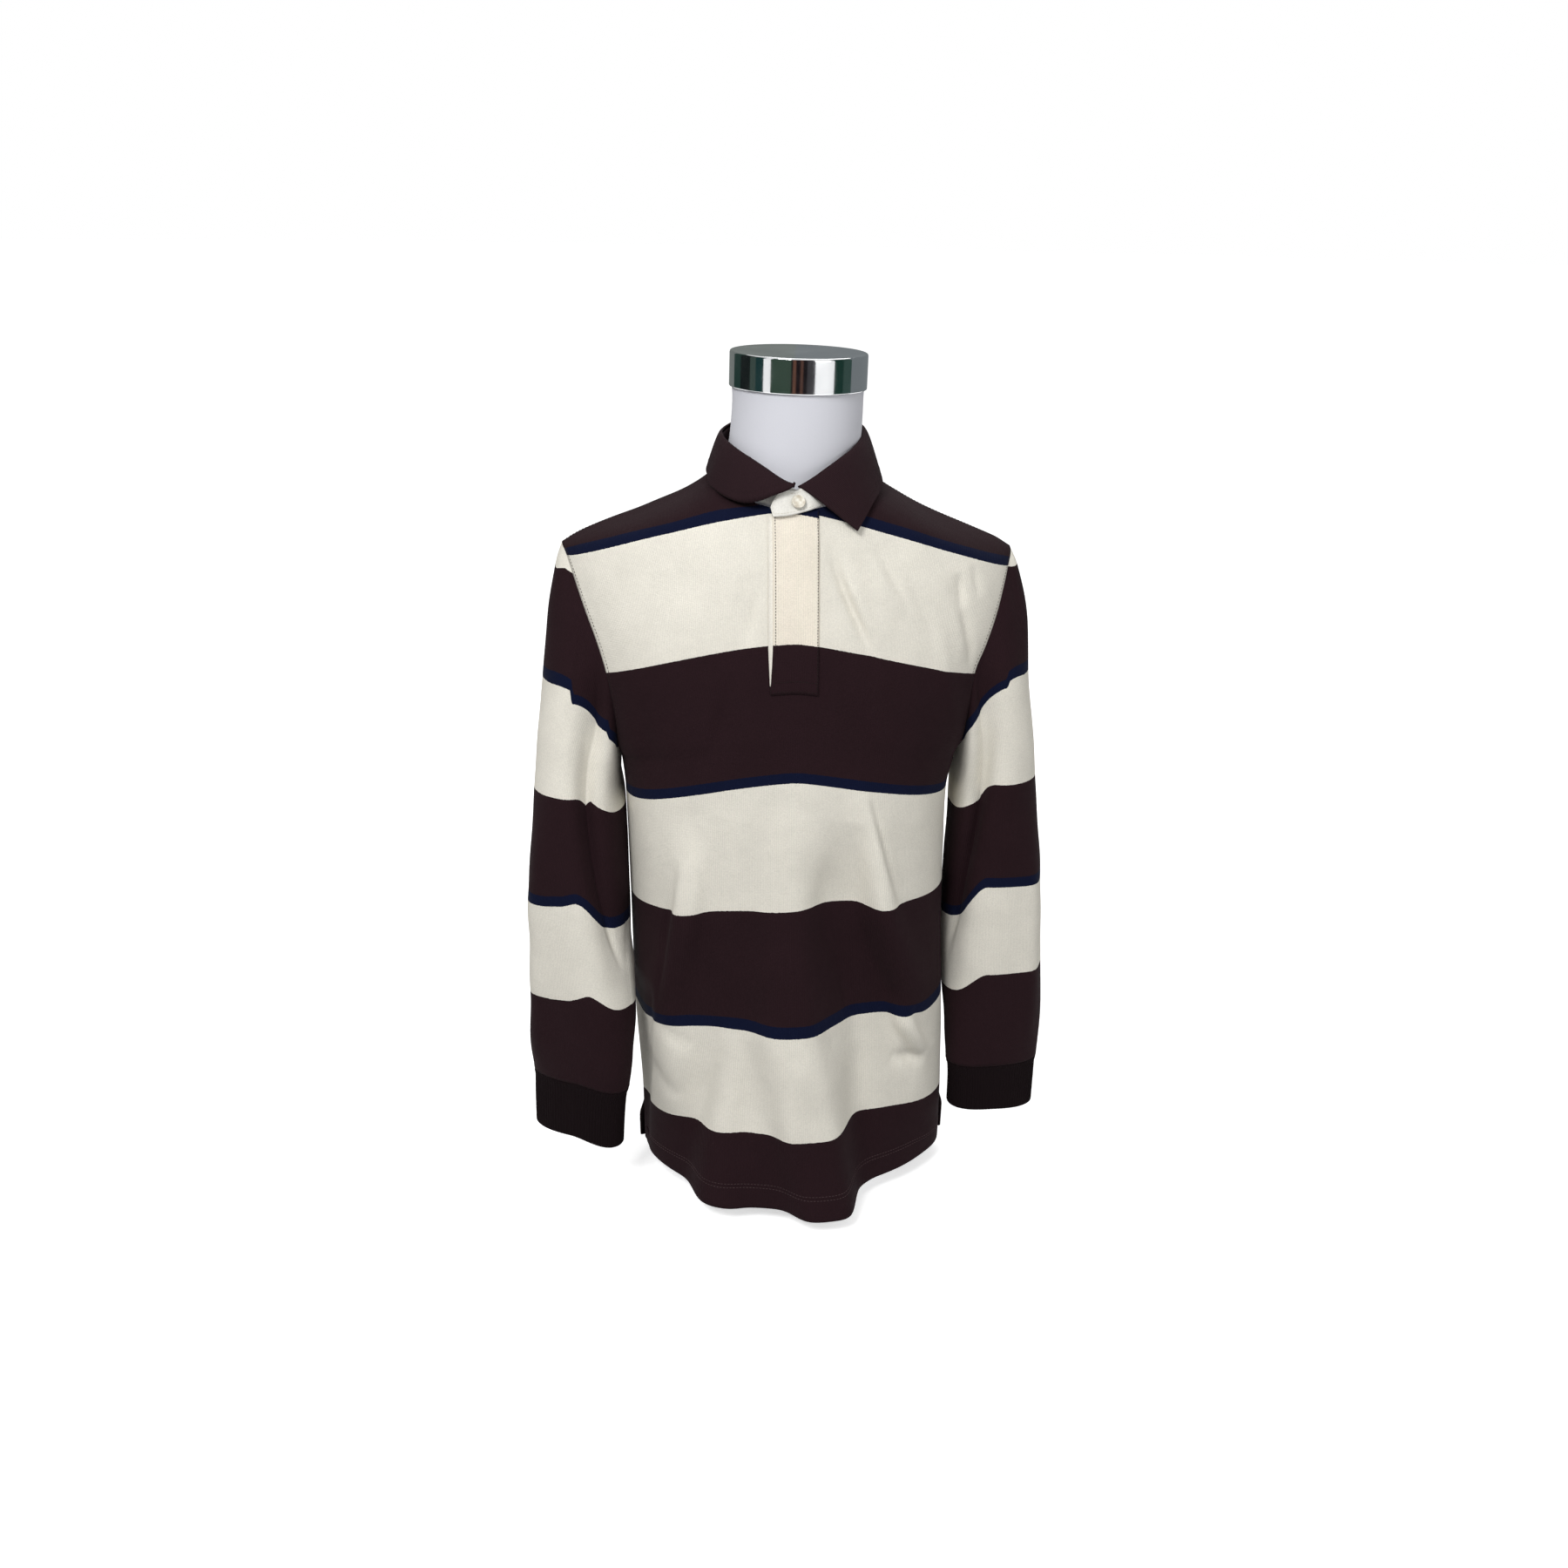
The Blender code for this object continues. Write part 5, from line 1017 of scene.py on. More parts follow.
def stand_grid(steps, rows):
    """Collar stand, foot to top, from its start to its buttoned end."""
    turn = np.linspace(STAND_START, STAND_END, steps + 1)
    turn = np.concatenate([turn[:-1], np.linspace(turn[-2], STAND_END, 9)[1:]])
    foot, out, up, height = stand_frame(turn)
    along = (STAND_END - turn) * MM_A_DEGREE
    height = height * np.sqrt(np.clip(1 - np.clip(1 - along / TAB_ROUND, 0, 1) ** 2, 0.06, 1))
    height = height - TAB_DROP * np.clip((turn - TAB_START) / (STAND_END - TAB_START), 0, 1)
    spiral = SPIRAL_START + SPIRAL_GROWTH * (turn - STAND_START) / (STAND_END - STAND_START)
    base = foot + out * (spiral[:, None] - STAND_INSET)
    low, high = base + up * STAND_LIFT, base + up * (STAND_LIFT + height)[:, None]
    # The buttoned end laps down over the top of the placket
    s = (foot[:, 0] - NECK_CENTRE_X) / FRONT_HALF
    near = np.abs(s) < 0.3
    down = np.zeros_like(foot)
    down[near] = front_at(s[near], CHEST_LINE_V - LAP_DROP, 0) - front_at(s[near], CHEST_LINE_V, 1.0)
    down /= np.maximum(np.linalg.norm(down, axis=1, keepdims=True), 1e-6)
    lap = np.clip((turn - LAP_FROM) / (STAND_END - LAP_FROM), 0, 1)[:, None]
    forward = np.array([0.0, -1.0, 0.0])
    low = low + down * LAP_DROP * lap**1.7 + forward * LAP_OUT * smooth(lap * 3.0)
    high = high + forward * LAP_OUT * smooth(lap * 2.0 - 0.7)
    low[:, 0] -= LAP_ASIDE * lap[:, 0] ** 3
    high[:, 0] -= LAP_ASIDE * 0.5 * lap[:, 0] ** 3
    return np.array([low + (high - low) * share for share in np.linspace(0, 1, rows + 1)])


def band_left(v):
    """Left edge of the placket band, which flares towards its foot."""
    return BAND_U[0] - BAND_FLARE * (1 - smooth((v - BAND_FOOT_V) / BAND_WIDENS))


def strip_left(v):
    """Left edge of the strip that shows beside the band."""
    return STRIP_U_FOOT + (STRIP_U_TOP - STRIP_U_FOOT) * smooth((v - BAND_FOOT_V) / BAND_WIDENS)


def band_sheet(name, mat):
    """Placket strip with its sides and foot folded down on to the front."""
    levels = [(v, 0.0) for v in np.linspace(BAND_FOOT_V, CHEST_LINE_V, BAND_ROWS)]
    levels += [(CHEST_LINE_V, t) for t in np.linspace(0, 1, 12)[1:]]
    flat_out, on_front = (
        front_band(band_left, BAND_U[1], out, levels, BAND_ACROSS) for out in (BAND_OUT, BAND_TUCK)
    )
    place = np.linspace(0, 1, BAND_ACROSS + 1)
    side = smooth(np.minimum(place, 1 - place) * BAND_ACROSS / 1.5)[None, :]
    foot = smooth(np.arange(len(levels)) / 1.5)[:, None]
    grid = on_front + (flat_out - on_front) * (side * foot)[..., None]
    deep = float(top_edge(-1, np.zeros(1))[1][0]) - CHEST_LINE_V - NECKLINE_INSET
    v = np.array([level + t * deep for level, t in levels])
    u = np.linspace(*BAND_U, BAND_ACROSS + 1) + BODY_FLAT_FROM
    flat = np.stack(np.broadcast_arrays(u[None, :], v[:, None]), -1)
    return sheet_mesh(name, grid, flat, mat, CLOTH, flip=True), grid


def stitch_mesh(name, paths, pitch, length, radius, mat):
    """One mesh of thread stitches along paths of (points, normals), in mm."""
    verts, faces = [], []
    turn = np.linspace(0, 2 * pi, STITCH_SIDES, endpoint=False)
    template = np.array([
        (place * length / 2, width * radius * cos(a), width * radius * sin(a) + dip * radius * 2)
        for place, width, dip in STITCH_RINGS
        for a in turn
    ])
    rings = len(STITCH_RINGS)
    pattern = grid_faces(rings, STITCH_SIDES, closed=True)
    pattern += [tuple(reversed(range(STITCH_SIDES)))]
    pattern += [tuple(range((rings - 1) * STITCH_SIDES, rings * STITCH_SIDES))]
    for points, normals in paths:
        run = run_along(points)
        count = int(run[-1] / pitch)
        if count < 1:
            continue
        places = (np.arange(count) + 0.5) * run[-1] / count
        centre, ahead, face = (np.empty((count, 3)) for _ in range(3))
        for k in range(3):
            centre[:, k] = np.interp(places, run, points[:, k])
            after, before = (np.interp(places + d, run, points[:, k]) for d in (0.6, -0.6))
            ahead[:, k] = after - before
            face[:, k] = np.interp(places, run, normals[:, k])
        ahead = unit(ahead)
        side = np.cross(face, ahead)
        side = unit(side)
        face = np.cross(ahead, side)
        for c, x, y, z in zip(centre, ahead, side, face):
            first = len(verts)
            verts.extend((c + template[:, :1] * x + template[:, 1:2] * y + template[:, 2:] * z).tolist())
            faces.extend(tuple(first + n for n in face_row) for face_row in pattern)
    return add_object(name, verts, faces, mat)


def on_grid(grid, normal, rows, cols, lift):
    """Points and normals at fractional rows and columns of a grid, raised above it."""
    rows = np.clip(np.asarray(rows, float), 0, grid.shape[0] - 1.001)
    cols = np.clip(np.asarray(cols, float), 0, grid.shape[1] - 1.001)
    rows, cols = np.broadcast_arrays(rows, cols)
    i, j = rows.astype(int), cols.astype(int)
    a, b = (rows - i)[:, None], (cols - j)[:, None]

    def mix(data):
        return (
            data[i, j] * (1 - a) * (1 - b) + data[i + 1, j] * a * (1 - b)
            + data[i, j + 1] * (1 - a) * b + data[i + 1, j + 1] * a * b
        )

    points, normals = mix(grid), mix(normal)
    normals = unit(normals)
    return points + normals * lift, normals


def outward_normal(grid):
    """Normals of an open strip, turned away from its middle."""
    normal = grid_normal(grid)
    return -normal if ((grid - grid.mean(axis=(0, 1))) * normal).sum() < 0 else normal


def col_inset(grid, row, distance, from_end):
    """Fractional column at a distance in mm along a row, from its start or its end."""
    line = grid[row][::-1] if from_end else grid[row]
    run = run_along(line)
    at = np.interp(distance, run, np.arange(len(run)))
    return len(run) - 1 - at if from_end else at


def row_inset(grid, col, distance, from_end):
    """Fractional row at a distance in mm along a column."""
    return col_inset(grid.transpose(1, 0, 2), col, distance, from_end)


def torso_piece(name, mat):
    """Dress form body from its rings, closed at both ends."""
    rings = np.asarray(FORM_RINGS, float)
    index = np.arange(len(rings))
    names = ("i", *FORM_COLUMNS)
    table = np.concatenate([index[:, None], rings], axis=1)
    fine = np.concatenate([[0, 0.5], np.linspace(1, len(rings) - 1, FORM_FINE)])
    col = {key: read(table, names, key, fine)[:, None] for key in names[1:]}
    angle = np.linspace(0, 2 * pi, FORM_ROUND, endpoint=False)[None, :]
    c, s = np.cos(angle), np.sin(angle)
    power = 2 / col["full"]
    x = col["x_mid"] + col["x_side"] * np.sign(s) * np.abs(s) ** power
    reach = np.where(c > 0, col["y_front"] - col["y_side"], col["y_side"] - col["y_back"])
    y = col["y_side"] + reach * np.sign(c) * np.abs(c) ** power
    climb = np.where(c > 0, col["z_front"] - col["z_side"], col["z_back"] - col["z_side"])
    z = col["z_side"] + climb * np.abs(c) ** col["rise"]
    z = z - FORM_TILT * (x - TILT_CENTRE_X) * smooth((col["z_side"] - TILT_FROM) / TILT_OVER)
    grid = np.stack([x, y, z], -1)
    count = len(grid)
    points = np.concatenate([grid.reshape(-1, 3), [grid[0].mean(axis=0), grid[-1].mean(axis=0)]])
    faces = grid_faces(count, FORM_ROUND, closed=True)
    first, last = count * FORM_ROUND, count * FORM_ROUND + 1
    for k in range(FORM_ROUND):
        n = (k + 1) % FORM_ROUND
        faces.append((n, k, first))
        faces.append(((count - 1) * FORM_ROUND + k, (count - 1) * FORM_ROUND + n, last))
    return add_object(name, points, faces, mat)


def cap_piece(name, mat):
    """Polished cap, leaning a little with the neck."""
    points, faces = lathe(CAP_FINE, 144)
    lean_y, lean_x = radians(CAP_LEAN_Y), radians(CAP_LEAN_X)
    z = points[:, 2] - CAP_PIVOT_Z
    x = points[:, 0] * cos(lean_y) + z * sin(lean_y)
    z = -points[:, 0] * sin(lean_y) + z * cos(lean_y)
    y = points[:, 1] * cos(lean_x) - z * sin(lean_x)
    z = points[:, 1] * sin(lean_x) + z * cos(lean_x)
    placed = np.stack([x + CAP_CENTRE[0], y + CAP_CENTRE[1], z + CAP_PIVOT_Z + CAP_LIFT], -1)
    return add_object(name, placed, faces, mat)


def button_frame(grid, normal):
    """Centre, side, up and face directions of the button on the stand's lapped end."""
    rows, last = grid.shape[0] - 1, grid.shape[1] - 1
    turn = np.linspace(STAND_START, STAND_END, STAND_FINE + 1)
    turn = np.concatenate([turn[:-1], np.linspace(turn[-2], STAND_END, 9)[1:]])
    col = np.interp(BUTTON_TURN, turn, np.arange(last + 1))
    (centre,), (face,) = on_grid(grid, normal, [rows * BUTTON_SHARE], [col], STAND_WALL / 2 + BUTTON_CLEAR)
    along = grid[rows // 2, int(col) + 1] - grid[rows // 2, int(col)]
    up = np.cross(face, along / np.linalg.norm(along))
    up = up if up[2] > 0 else -up
    side = np.cross(up, face)
    tip = radians(BUTTON_TIP)
    face, up = face * cos(tip) + up * sin(tip), up * cos(tip) - face * sin(tip)
    return centre, side, up, face


def button_piece(name, grid, normal, mat):
    points, faces = lathe(BUTTON_FINE[::-1], 72)
    centre, side, up, face = button_frame(grid, normal)
    placed = centre + points[:, :1] * side + points[:, 1:2] * up + points[:, 2:] * face
    return add_object(name, placed, faces, mat)


class Shader:
    """A principled material with helpers for adding and joining nodes."""

    def __init__(self, name, colour, roughness, metallic=0.0):
        self.mat = bpy.data.materials.new(name)
        self.mat.use_nodes = True
        self.tree = self.mat.node_tree
        self.main = self.tree.nodes["Principled BSDF"]
        self.set(Base_Color=(*colour, 1.0), Roughness=roughness, Metallic=metallic)

    def add(self, kind, **settings):
        node = self.tree.nodes.new("ShaderNode" + kind)
        for key, value in settings.items():
            setattr(node, key, value)
        return node

    def join(self, source, target):
        self.tree.links.new(source, target)

    def feed(self, socket, source):
        self.join(source, self.main.inputs[socket])

    def set(self, **sockets):
        """Sets sockets of the shader, with _ for a space in their names."""
        for name, value in sockets.items():
            self.main.inputs[name.replace("_", " ")].default_value = value

    def flat(self):
        return self.add("UVMap", uv_map="flat").outputs["UV"]

    def solid(self):
        return self.add("TexCoord").outputs["Object"]

    def noise(self, where, scale, detail=2.0, rough=0.5):
        node = self.add("TexNoise")
        node.inputs["Scale"].default_value = scale
        node.inputs["Detail"].default_value = detail
        node.inputs["Roughness"].default_value = rough
        self.join(where, node.inputs["Vector"])
        return node.outputs["Fac"]

    def wave(self, where, axis, pitch, distortion=0.0):
        node = self.add("TexWave", bands_direction=axis, wave_profile="SIN")
        node.inputs["Scale"].default_value = pi / (10.0 * pitch)
        node.inputs["Distortion"].default_value = distortion
        node.inputs["Detail Scale"].default_value = 1.0
        self.join(where, node.inputs["Vector"])
        return node.outputs["Fac"]

    def math(self, kind, a, b):
        node = self.add("Math", operation=kind)
        for slot, value in zip(node.inputs, (a, b)):
            if isinstance(value, (int, float)):
                slot.default_value = value
            else:
                self.join(value, slot)
        return node.outputs["Value"]

    def ramp(self, factor, stops, kind="LINEAR"):
        node = self.add("ValToRGB")
        node.color_ramp.interpolation = kind
        marks = node.color_ramp.elements
        while len(marks) < len(stops):
            marks.new(1.0)
        for mark, (place, colour) in zip(marks, stops):
            mark.position = place
            mark.color = (*colour, 1.0)
        self.join(factor, node.inputs["Fac"])
        return node.outputs["Color"]

    def tint(self, colour, by, low, high):
        """Multiplies a colour by a grey that runs from low to high with a value."""
        grey = self.ramp(by, ((0.25, (low,) * 3), (0.75, (high,) * 3)))
        node = self.add("Mix", data_type="RGBA", blend_type="MULTIPLY")
        node.inputs["Factor"].default_value = 1.0
        if isinstance(colour, tuple):
            node.inputs["A"].default_value = (*colour, 1.0)
            self.join(grey, node.inputs["B"])
            return node.outputs["Result"]
        self.join(colour, node.inputs[6])
        self.join(grey, node.inputs[7])
        return node.outputs[2]

    def bump(self, height, strength, distance, under=None):
        node = self.add("Bump")
        node.inputs["Strength"].default_value = strength
        node.inputs["Distance"].default_value = distance
        self.join(height, node.inputs["Height"])
        if under is not None:
            self.join(under, node.inputs["Normal"])
        return node.outputs["Normal"]

    def sheen(self, weight, roughness, tint):
        self.set(Sheen_Weight=weight, Sheen_Roughness=roughness, Sheen_Tint=(*tint, 1.0))


def knit_surface(shader, colour, wale, course, depth):
    """Colour variation, painted shade between the knit's columns, knitted relief and the soft unevenness of
    cloth.
    """
    flat, solid = shader.flat(), shader.solid()
    colour = shader.tint(colour, shader.noise(solid, 28.0, 3.0), 0.95, 1.04)
    colour = shader.tint(colour, shader.noise(solid, 900.0, 2.0), 0.90, 1.07)
    # The knit's columns are painted darker in their hollows and lighter on their ridges: painted shade that
    # follows the relief the bump also draws
    columns = shader.wave(flat, "X", wale, 0.35)
    shader.feed("Base Color", shader.tint(colour, columns, 0.93, 1.03))
    rows = shader.wave(flat, "Y", course, 0.5)
    knit = shader.math("ADD", columns, shader.math("MULTIPLY", rows, 0.5))
    fuzz = shader.math("ADD", knit, shader.math("MULTIPLY", shader.noise(solid, 1500.0, 3.0), 0.8))
    soft = shader.bump(shader.noise(solid, 75.0, 3.0, 0.55), 0.55, 0.0011)
    shader.feed("Normal", shader.bump(fuzz, 0.5, depth, soft))
    shader.set(Specular_IOR_Level=0.06)
    shader.sheen(0.014, 0.4, (1.0, 0.97, 0.93))


def striped_jersey(name, bands):
    shader = Shader(name, CREAM, 0.9)
    flat = shader.flat()
    parts = shader.add("SeparateXYZ")
    shader.join(flat, parts.inputs["Vector"])
    jitter = shader.math("MULTIPLY", shader.noise(flat, 700.0, 1.0), 0.0011)
    height = shader.math("ADD", parts.outputs["Y"], jitter)
    scaled = shader.math("DIVIDE", shader.math("SUBTRACT", height, 0.0005), STRIPE_TOP * MM)
    stops = [(v / STRIPE_TOP, colour) for v, colour in bands]
    colour = shader.ramp(scaled, stops, "CONSTANT")
    knit_surface(shader, colour, WALE, COURSE, 0.00035)
    return shader.mat


def plain_knit(name, colour, wale, course, depth, zones=None):
    """Knitted or woven cloth of one colour, or of colours by its place along the strip."""
    shader = Shader(name, colour, 0.92)
    if zones:
        parts = shader.add("SeparateXYZ")
        shader.join(shader.flat(), parts.inputs["Vector"])
        colour = shader.ramp(parts.outputs["X"], zones, "CONSTANT")
    knit_surface(shader, colour, wale, course, depth)
    return shader.mat


def thread(name, colour):
    shader = Shader(name, colour, 0.8)
    shader.set(Specular_IOR_Level=0.08)
    twist = shader.wave(shader.solid(), "DIAGONAL", 0.0009)
    shader.feed("Normal", shader.bump(twist, 0.4, 0.0002))
    shader.feed("Base Color", shader.tint(colour, shader.noise(shader.solid(), 800.0), 0.85, 1.1))
    return shader.mat


def form_cover(name):
    shader = Shader(name, FORM_WHITE, 0.62)
    solid = shader.solid()
    shader.feed("Base Color", shader.tint(FORM_WHITE, shader.noise(solid, 9.0), 0.97, 1.02))
    weave = shader.math("ADD", shader.noise(solid, 1300.0, 2.0), shader.noise(solid, 420.0, 2.0))
    shader.feed("Normal", shader.bump(weave, 0.25, 0.0003))
    shader.sheen(0.1, 0.4, (1.0, 1.0, 1.0))
    return shader.mat


def chrome(name):
    shader = Shader(name, CHROME, 0.07, 1.0)
    solid = shader.solid()
    marks = shader.ramp(shader.noise(solid, 35.0, 4.0), ((0.35, (0.05,) * 3), (0.75, (0.13,) * 3)))
    shader.feed("Roughness", marks)
    shader.feed("Normal", shader.bump(shader.noise(solid, 22.0, 1.0), 0.05, 0.0006))
    return shader.mat


def pearl(name):
    shader = Shader(name, PEARL, 0.22)
    solid = shader.solid()
    cloud = shader.noise(solid, 260.0, 3.0)
    colour = shader.ramp(cloud, ((0.3, PEARL_DEEP), (0.55, PEARL), (0.75, PEARL_PALE)))
    shader.feed("Base Color", colour)
    shader.set(Coat_Weight=0.7, Coat_Roughness=0.08)
    shader.feed("Normal", shader.bump(cloud, 0.15, 0.0002))
    return shader.mat


def place_camera():
    data = bpy.data.cameras.new("photo_camera")
    cam = bpy.data.objects.new("photo_camera", data)
    bpy.context.scene.collection.objects.link(cam)
    data.sensor_fit = "AUTO"
    data.sensor_width = 36.0
    data.lens = 36.0 * CAMERA_FOCAL / IMAGE_SIDE
    data.clip_start, data.clip_end = 0.02, 60.0
    pitch, yaw, roll = radians(CAMERA_PITCH), radians(CAMERA_YAW), radians(CAMERA_ROLL)
    level = Vector((sin(yaw), cos(yaw), 0.0))
    right = Vector((cos(yaw), -sin(yaw), 0.0))
    ahead = level * cos(pitch) - Vector((0, 0, sin(pitch)))
    up = right.cross(ahead)
    aside = (CAMERA_AXIS - IMAGE_SIDE / 2) / CAMERA_FOCAL * CAMERA_AWAY / cos(pitch)
    place = -level * CAMERA_AWAY + Vector((0, 0, CAMERA_HEIGHT)) - right * aside
    # A picture turned clockwise is a camera turned anticlockwise about its line of sight
    right, up = right * cos(roll) + up * sin(roll), up * cos(roll) - right * sin(roll)
    turn = Matrix((right, up, -ahead)).transposed()
    cam.matrix_world = Matrix.Translation(place * MM) @ turn.to_4x4()
    bpy.context.scene.camera = cam
    return cam


def area_light(name, place, target, size, power):
    data = bpy.data.lights.new(name, "AREA")
    data.shape, data.size, data.energy = "SQUARE", size, power
    lamp = bpy.data.objects.new(name, data)
    bpy.context.scene.collection.objects.link(lamp)
    lamp.location = place
    lamp.rotation_euler = (Vector(target) - Vector(place)).to_track_quat("-Z", "Y").to_euler()


def set_world():
    """White to the camera and in reflections, and a fading soft light on what is matt."""
    world = bpy.data.worlds.new("studio")
    bpy.context.scene.world = world
    world.use_nodes = True
    nodes, links = world.node_tree.nodes, world.node_tree.links
    sky = nodes["Background"]
    where, parts = nodes.new("ShaderNodeTexCoord"), nodes.new("ShaderNodeSeparateXYZ")
    links.new(where.outputs["Generated"], parts.inputs["Vector"])
    slope = nodes.new("ShaderNodeMapRange")
    slope.inputs["From Min"].default_value = -1.0
    slope.inputs["To Min"].default_value = WORLD_BELOW
    slope.inputs["To Max"].default_value = WORLD_ABOVE
    links.new(parts.outputs["Z"], slope.inputs["Value"])
    rays, level = nodes.new("ShaderNodeLightPath"), nodes.new("ShaderNodeMapRange")
    level.inputs["To Min"].default_value = WORLD_SEEN
    links.new(rays.outputs["Is Diffuse Ray"], level.inputs["Value"])
    links.new(slope.outputs["Result"], level.inputs["To Max"])
    links.new(level.outputs["Result"], sky.inputs["Strength"])
    sky.inputs["Color"].default_value = (1.0, 1.0, 1.0, 1.0)
    bpy.context.scene.view_settings.view_transform = "Standard"


def add_floor():
    angle = np.linspace(0, 2 * pi, FLOOR_ROUND, endpoint=False)
    ring = np.stack([FLOOR_RADIUS * np.cos(angle), FLOOR_RADIUS * np.sin(angle), 0 * angle], -1)
    paint = Shader("floor_paint", FLOOR, 0.9)
    grain = paint.noise(paint.solid(), 3.0, 2.0)
    paint.feed("Base Color", paint.tint(FLOOR, grain, 0.99, 1.0))
    paint.set(Emission_Color=(1.0, 1.0, 1.0, 1.0), Emission_Strength=FLOOR_GLOW)
    floor = add_object("studio_floor", ring / MM, [tuple(range(FLOOR_ROUND))], paint.mat)
    floor.visible_diffuse = False


def card_material(name, colour):
    mat = bpy.data.materials.new(name)
    mat.use_nodes = True
    tree = mat.node_tree
    glow = tree.nodes.new("ShaderNodeEmission")
    glow.inputs["Color"].default_value = (*colour, 1.0)
    tree.links.new(glow.outputs["Emission"], tree.nodes["Material Output"].inputs["Surface"])
    return mat


def add_cards():
    """Dark and coloured cards round the set, seen only in what is glossy."""
    verts, faces, marks = [], [], []
    for start, end, colour in CARDS:
        first = len(verts)
        for a in np.linspace(radians(start), radians(end), 5):
            for z in CARD_HEIGHTS:
                verts.append((CARD_RADIUS * sin(a), -CARD_RADIUS * cos(a), z))
        faces += [(first + 2 * k, first + 2 * k + 2, first + 2 * k + 3, first + 2 * k + 1) for k in range(4)]
        marks += [colour] * 4
    order = list(dict.fromkeys(marks))
    mats = [card_material(f"card_{n}", colour) for n, colour in enumerate(order)]
    cards = add_object("studio_cards", np.array(verts) / MM, faces, mats[0])
    for mat in mats[1:]:
        cards.data.materials.append(mat)
    cards.data.polygons.foreach_set("material_index", [order.index(c) for c in marks])
    for ray in ("camera", "diffuse", "shadow", "transmission"):
        setattr(cards, "visible_" + ray, False)


def studio():
    set_world()
    for light in STUDIO_LIGHTS:
        area_light(*light)
    add_floor()
    add_cards()


def dress(obj, slot, *nodes):
    """Puts a finished piece in the place of its solids."""
    if nodes:
        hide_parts(*nodes)
    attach(obj, "root")
    return obj


def add_run(name, slot, paths, run, mat):
    """Stitches along paths, in one piece."""
    return dress(stitch_mesh(name, paths, *run, mat), slot)


def body_stitches(side, grid, normal, height, s):
    """Paths of the hem, and of the armholes and the back's shoulder seams, of one panel."""
    turned = len(grid) - len(height)
    lift = CLOTH / 2 + BODY_LIFT
    cols = np.arange(len(s))
    hems, paths = [], []
    for v in HEM_STITCH:
        row = turned + np.interp(v, height[:, 0][: len(height) // 2], np.arange(len(height) // 2))
        hems.append(on_grid(grid, normal, row, cols[1:-1], lift))
    first = turned + int(np.searchsorted(height[:, 0], UNDERARM_V + ARM_CLEAR))
    rows = np.arange(first, len(grid) - 2)
    for far_end in (False, True):
        at = [col_inset(grid, row, ARM_INSET, far_end) for row in rows]
        paths.append(on_grid(grid, normal, rows, at, lift))
    if side > 0:
        for hand in (-1, 1):
            part = [n for n in cols[2:-2] if s[n] * hand > NECK_SHARE + SHOULDER_CLEAR]
            at = [row_inset(grid, col, SHOULDER_INSET, True) for col in part]
            paths.append(on_grid(grid, normal, at, part, lift))
    return hems, paths


def make_body():
    jersey = striped_jersey("body_jersey", BODY_BANDS)
    seam, hem_seam = thread("seam_thread", SEAM_THREAD), thread("hem_thread", HEM_THREAD)
    made = {}
    for node, side, fine in (("front", -1, FRONT_FINE), ("back", 1, BACK_FINE)):
        name = "shirt_" + node
        obj, grid, normal, height, s = body_sheet(name, side, *fine, jersey)
        dress(obj, "jersey", node)
        hems, paths = body_stitches(side, grid, normal, height, s)
        runs = [
            add_run(name + "_hem_stitches", "jersey", hems, BODY_RUN, hem_seam),
            add_run(name + "_stitches", "jersey", paths, BODY_RUN, seam),
        ]
        made[node] = (obj, runs)
    return made


def make_sleeves():
    jersey = striped_jersey("sleeve_jersey", SLEEVE_BANDS)
    rib = plain_knit("cuff_rib", RIB_DARK, RIB, COURSE, 0.0003)
    made = {}
    for hand, name in ((-1, "right"), (1, "left")):
        sleeve, grid = sleeve_sheet("shirt_sleeve_" + name, hand, SLEEVE_ROUND, jersey)
        dress(sleeve, "jersey", "sleeve_" + name)
        cuff = cuff_sheet("rib_cuff_" + name, hand, grid[-1], rib)
        dress(cuff, "rib", "cuff_" + name)
        made[name] = (sleeve, cuff)
    return made


def tab_path(grid, normal):
    """Path along the top of the stand's buttoned end, round its tip and back along its foot."""
    last = grid.shape[1] - 1
    end = col_inset(grid, (len(grid) - 1) // 2, TAB_INSET, True)
    cols = np.linspace(int(last * 0.9), end, 60)
    top, foot = (np.array([row_inset(grid, int(c), TAB_INSET, far) for c in cols]) for far in (True, False))
    down = np.linspace(top[-1], foot[-1], 12)[1:-1]
    rows = np.concatenate([top, down, foot[::-1]])
    cols = np.concatenate([cols, np.full(len(down), end), cols[::-1]])
    return on_grid(grid, normal, rows, cols, STAND_WALL / 2 + STITCH_LIFT)


def make_stand():
    twill = plain_knit("stand_twill", STAND_CREAM, TWILL, TWILL, 0.00015, STAND_ZONES)
    grid = stand_grid(STAND_FINE, STAND_ACROSS)
    stand = sheet_mesh("neck_stand", grid, flat_of(grid), twill, STAND_WALL)
    dress(stand, "stand_twill", "collar_stand")
    normal = outward_normal(grid)
    path = tab_path(grid, normal)
    pale = thread("stand_thread", STAND_THREAD)
    rows, last = grid.shape[0] - 1, grid.shape[1] - 1
    cols = np.linspace(last - HOLE_COLS[0], last - HOLE_COLS[1], 30)
    step = HOLE_HALF / np.linalg.norm(grid[1, last - BUTTON_COL] - grid[0, last - BUTTON_COL])
    sides = [
        on_grid(grid, normal, np.full(30, rows * BUTTON_SHARE + k * step), cols, STAND_WALL / 2)
        for k in (-1, 1)
    ]
    add_run("buttonhole", "stand_twill", sides, HOLE_RUN, pale)
    run = add_run("stand_stitches", "stand_twill", [path], STAND_RUN, pale)
    return stand, run, (grid, normal)


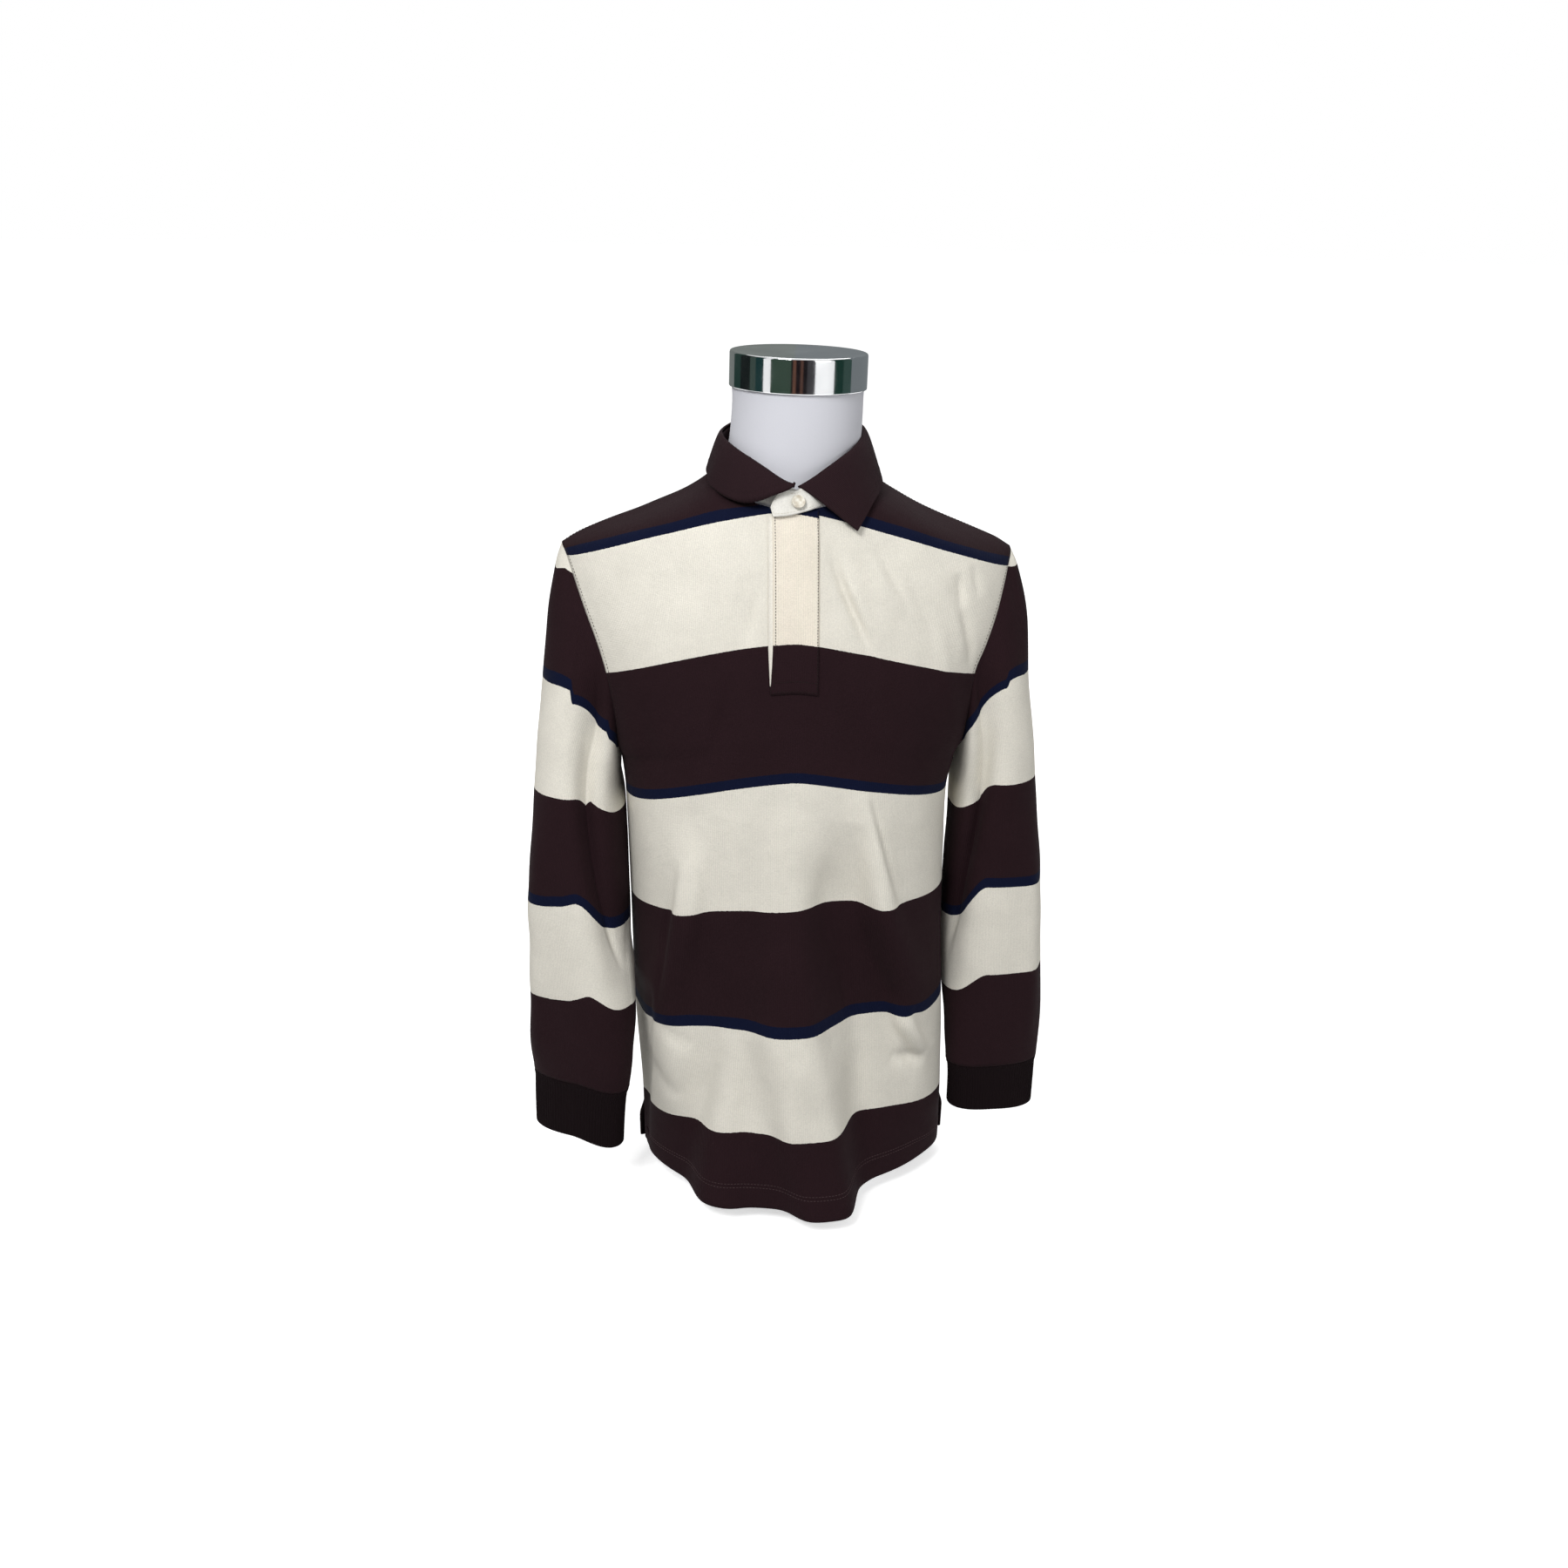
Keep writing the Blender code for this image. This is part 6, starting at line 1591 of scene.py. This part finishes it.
def make_fall():
    jersey = plain_knit("collar_jersey", COLLAR_DARK, WALE, COURSE, 0.0003)
    grid = fall_grid(FALL_FINE, FALL_ACROSS, FALL_ROLL)
    fall = sheet_mesh("collar_leaf", grid, flat_of(grid), jersey, FALL_WALL)
    dress(fall, "collar_jersey", "collar_fall")
    normal = outward_normal(grid)
    upper = grid[: FALL_ACROSS + 1]
    cols = np.arange(4, grid.shape[1] - 4)
    edge_rows = np.array([row_inset(upper, c, COLLAR_INSET, True) for c in cols])
    starts = [col_inset(grid, FALL_ACROSS // 2, COLLAR_INSET, far) for far in (False, True)]
    inside = (cols >= starts[0]) & (cols <= starts[1])
    cols, edge_rows = cols[inside], edge_rows[inside]
    lift = FALL_WALL / 2 + STITCH_LIFT
    paths = [on_grid(grid, normal, edge_rows, cols, lift)]
    for col, low in ((starts[0], edge_rows[0]), (starts[1], edge_rows[-1])):
        paths.append(on_grid(grid, normal, np.linspace(6, low, 40), np.full(40, col), lift))
    dark = thread("collar_thread", COLLAR_THREAD)
    run = add_run("collar_stitches", "collar_jersey", paths, COLLAR_RUN, dark)
    return fall, run


def make_band():
    band, grid = band_sheet("top_band", striped_jersey("placket_jersey", BAND_BANDS))
    dress(band, "jersey", "placket")
    normal = grid_normal(grid)
    rows = np.arange(3, len(grid) - 2)
    lift = CLOTH / 2 + STITCH_LIFT
    paths = [on_grid(grid, normal, rows, np.full(len(rows), col), lift) for col in PLACKET_STITCH]
    per_mm = (BAND_ROWS - 1) / (CHEST_LINE_V - BAND_FOOT_V)
    cols = np.linspace(*PLACKET_STITCH, 60)
    for up in PLACKET_FOOT_STITCH:
        paths.append(on_grid(grid, normal, np.full(60, up * per_mm), cols, lift))
    dark = thread("placket_thread", PLACKET_THREAD)
    run = add_run("placket_stitches", "jersey", paths, PLACKET_RUN, dark)
    return band, run


def make_strip():
    twill = plain_knit("facing_twill", FACING_CREAM, TWILL, TWILL, 0.00015)
    levels = [(v, 0.0) for v in np.linspace(STRIP_FOOT_V, CHEST_LINE_V, STRIP_ROWS)]
    grid = front_band(strip_left, STRIP_U_RIGHT, STRIP_OUT, levels, STRIP_ACROSS)
    strip = sheet_mesh("facing_strip", grid, flat_of(grid), twill, STRIP_WALL, flip=True)
    return dress(strip, "stand_twill", "placket_facing")


def make_fastening_and_form(lap):
    button = button_piece("pearl_button", *lap, pearl("button_pearl"))
    dress(button, "pearl", "button")
    torso = torso_piece("form_body", form_cover("form_cloth"))
    dress(torso, "form_cover", "form_torso")
    cap = cap_piece("form_neck_cap", chrome("cap_chrome"))
    dress(cap, "polished_metal", "form_cap")
    return torso


def main():
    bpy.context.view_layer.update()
    place_camera()
    studio()
    body, sleeves = make_body(), make_sleeves()
    stand, stand_run, lap = make_stand()
    fall, fall_run = make_fall()
    band, band_run = make_band()
    strip = make_strip()
    form = make_fastening_and_form(lap)


main()
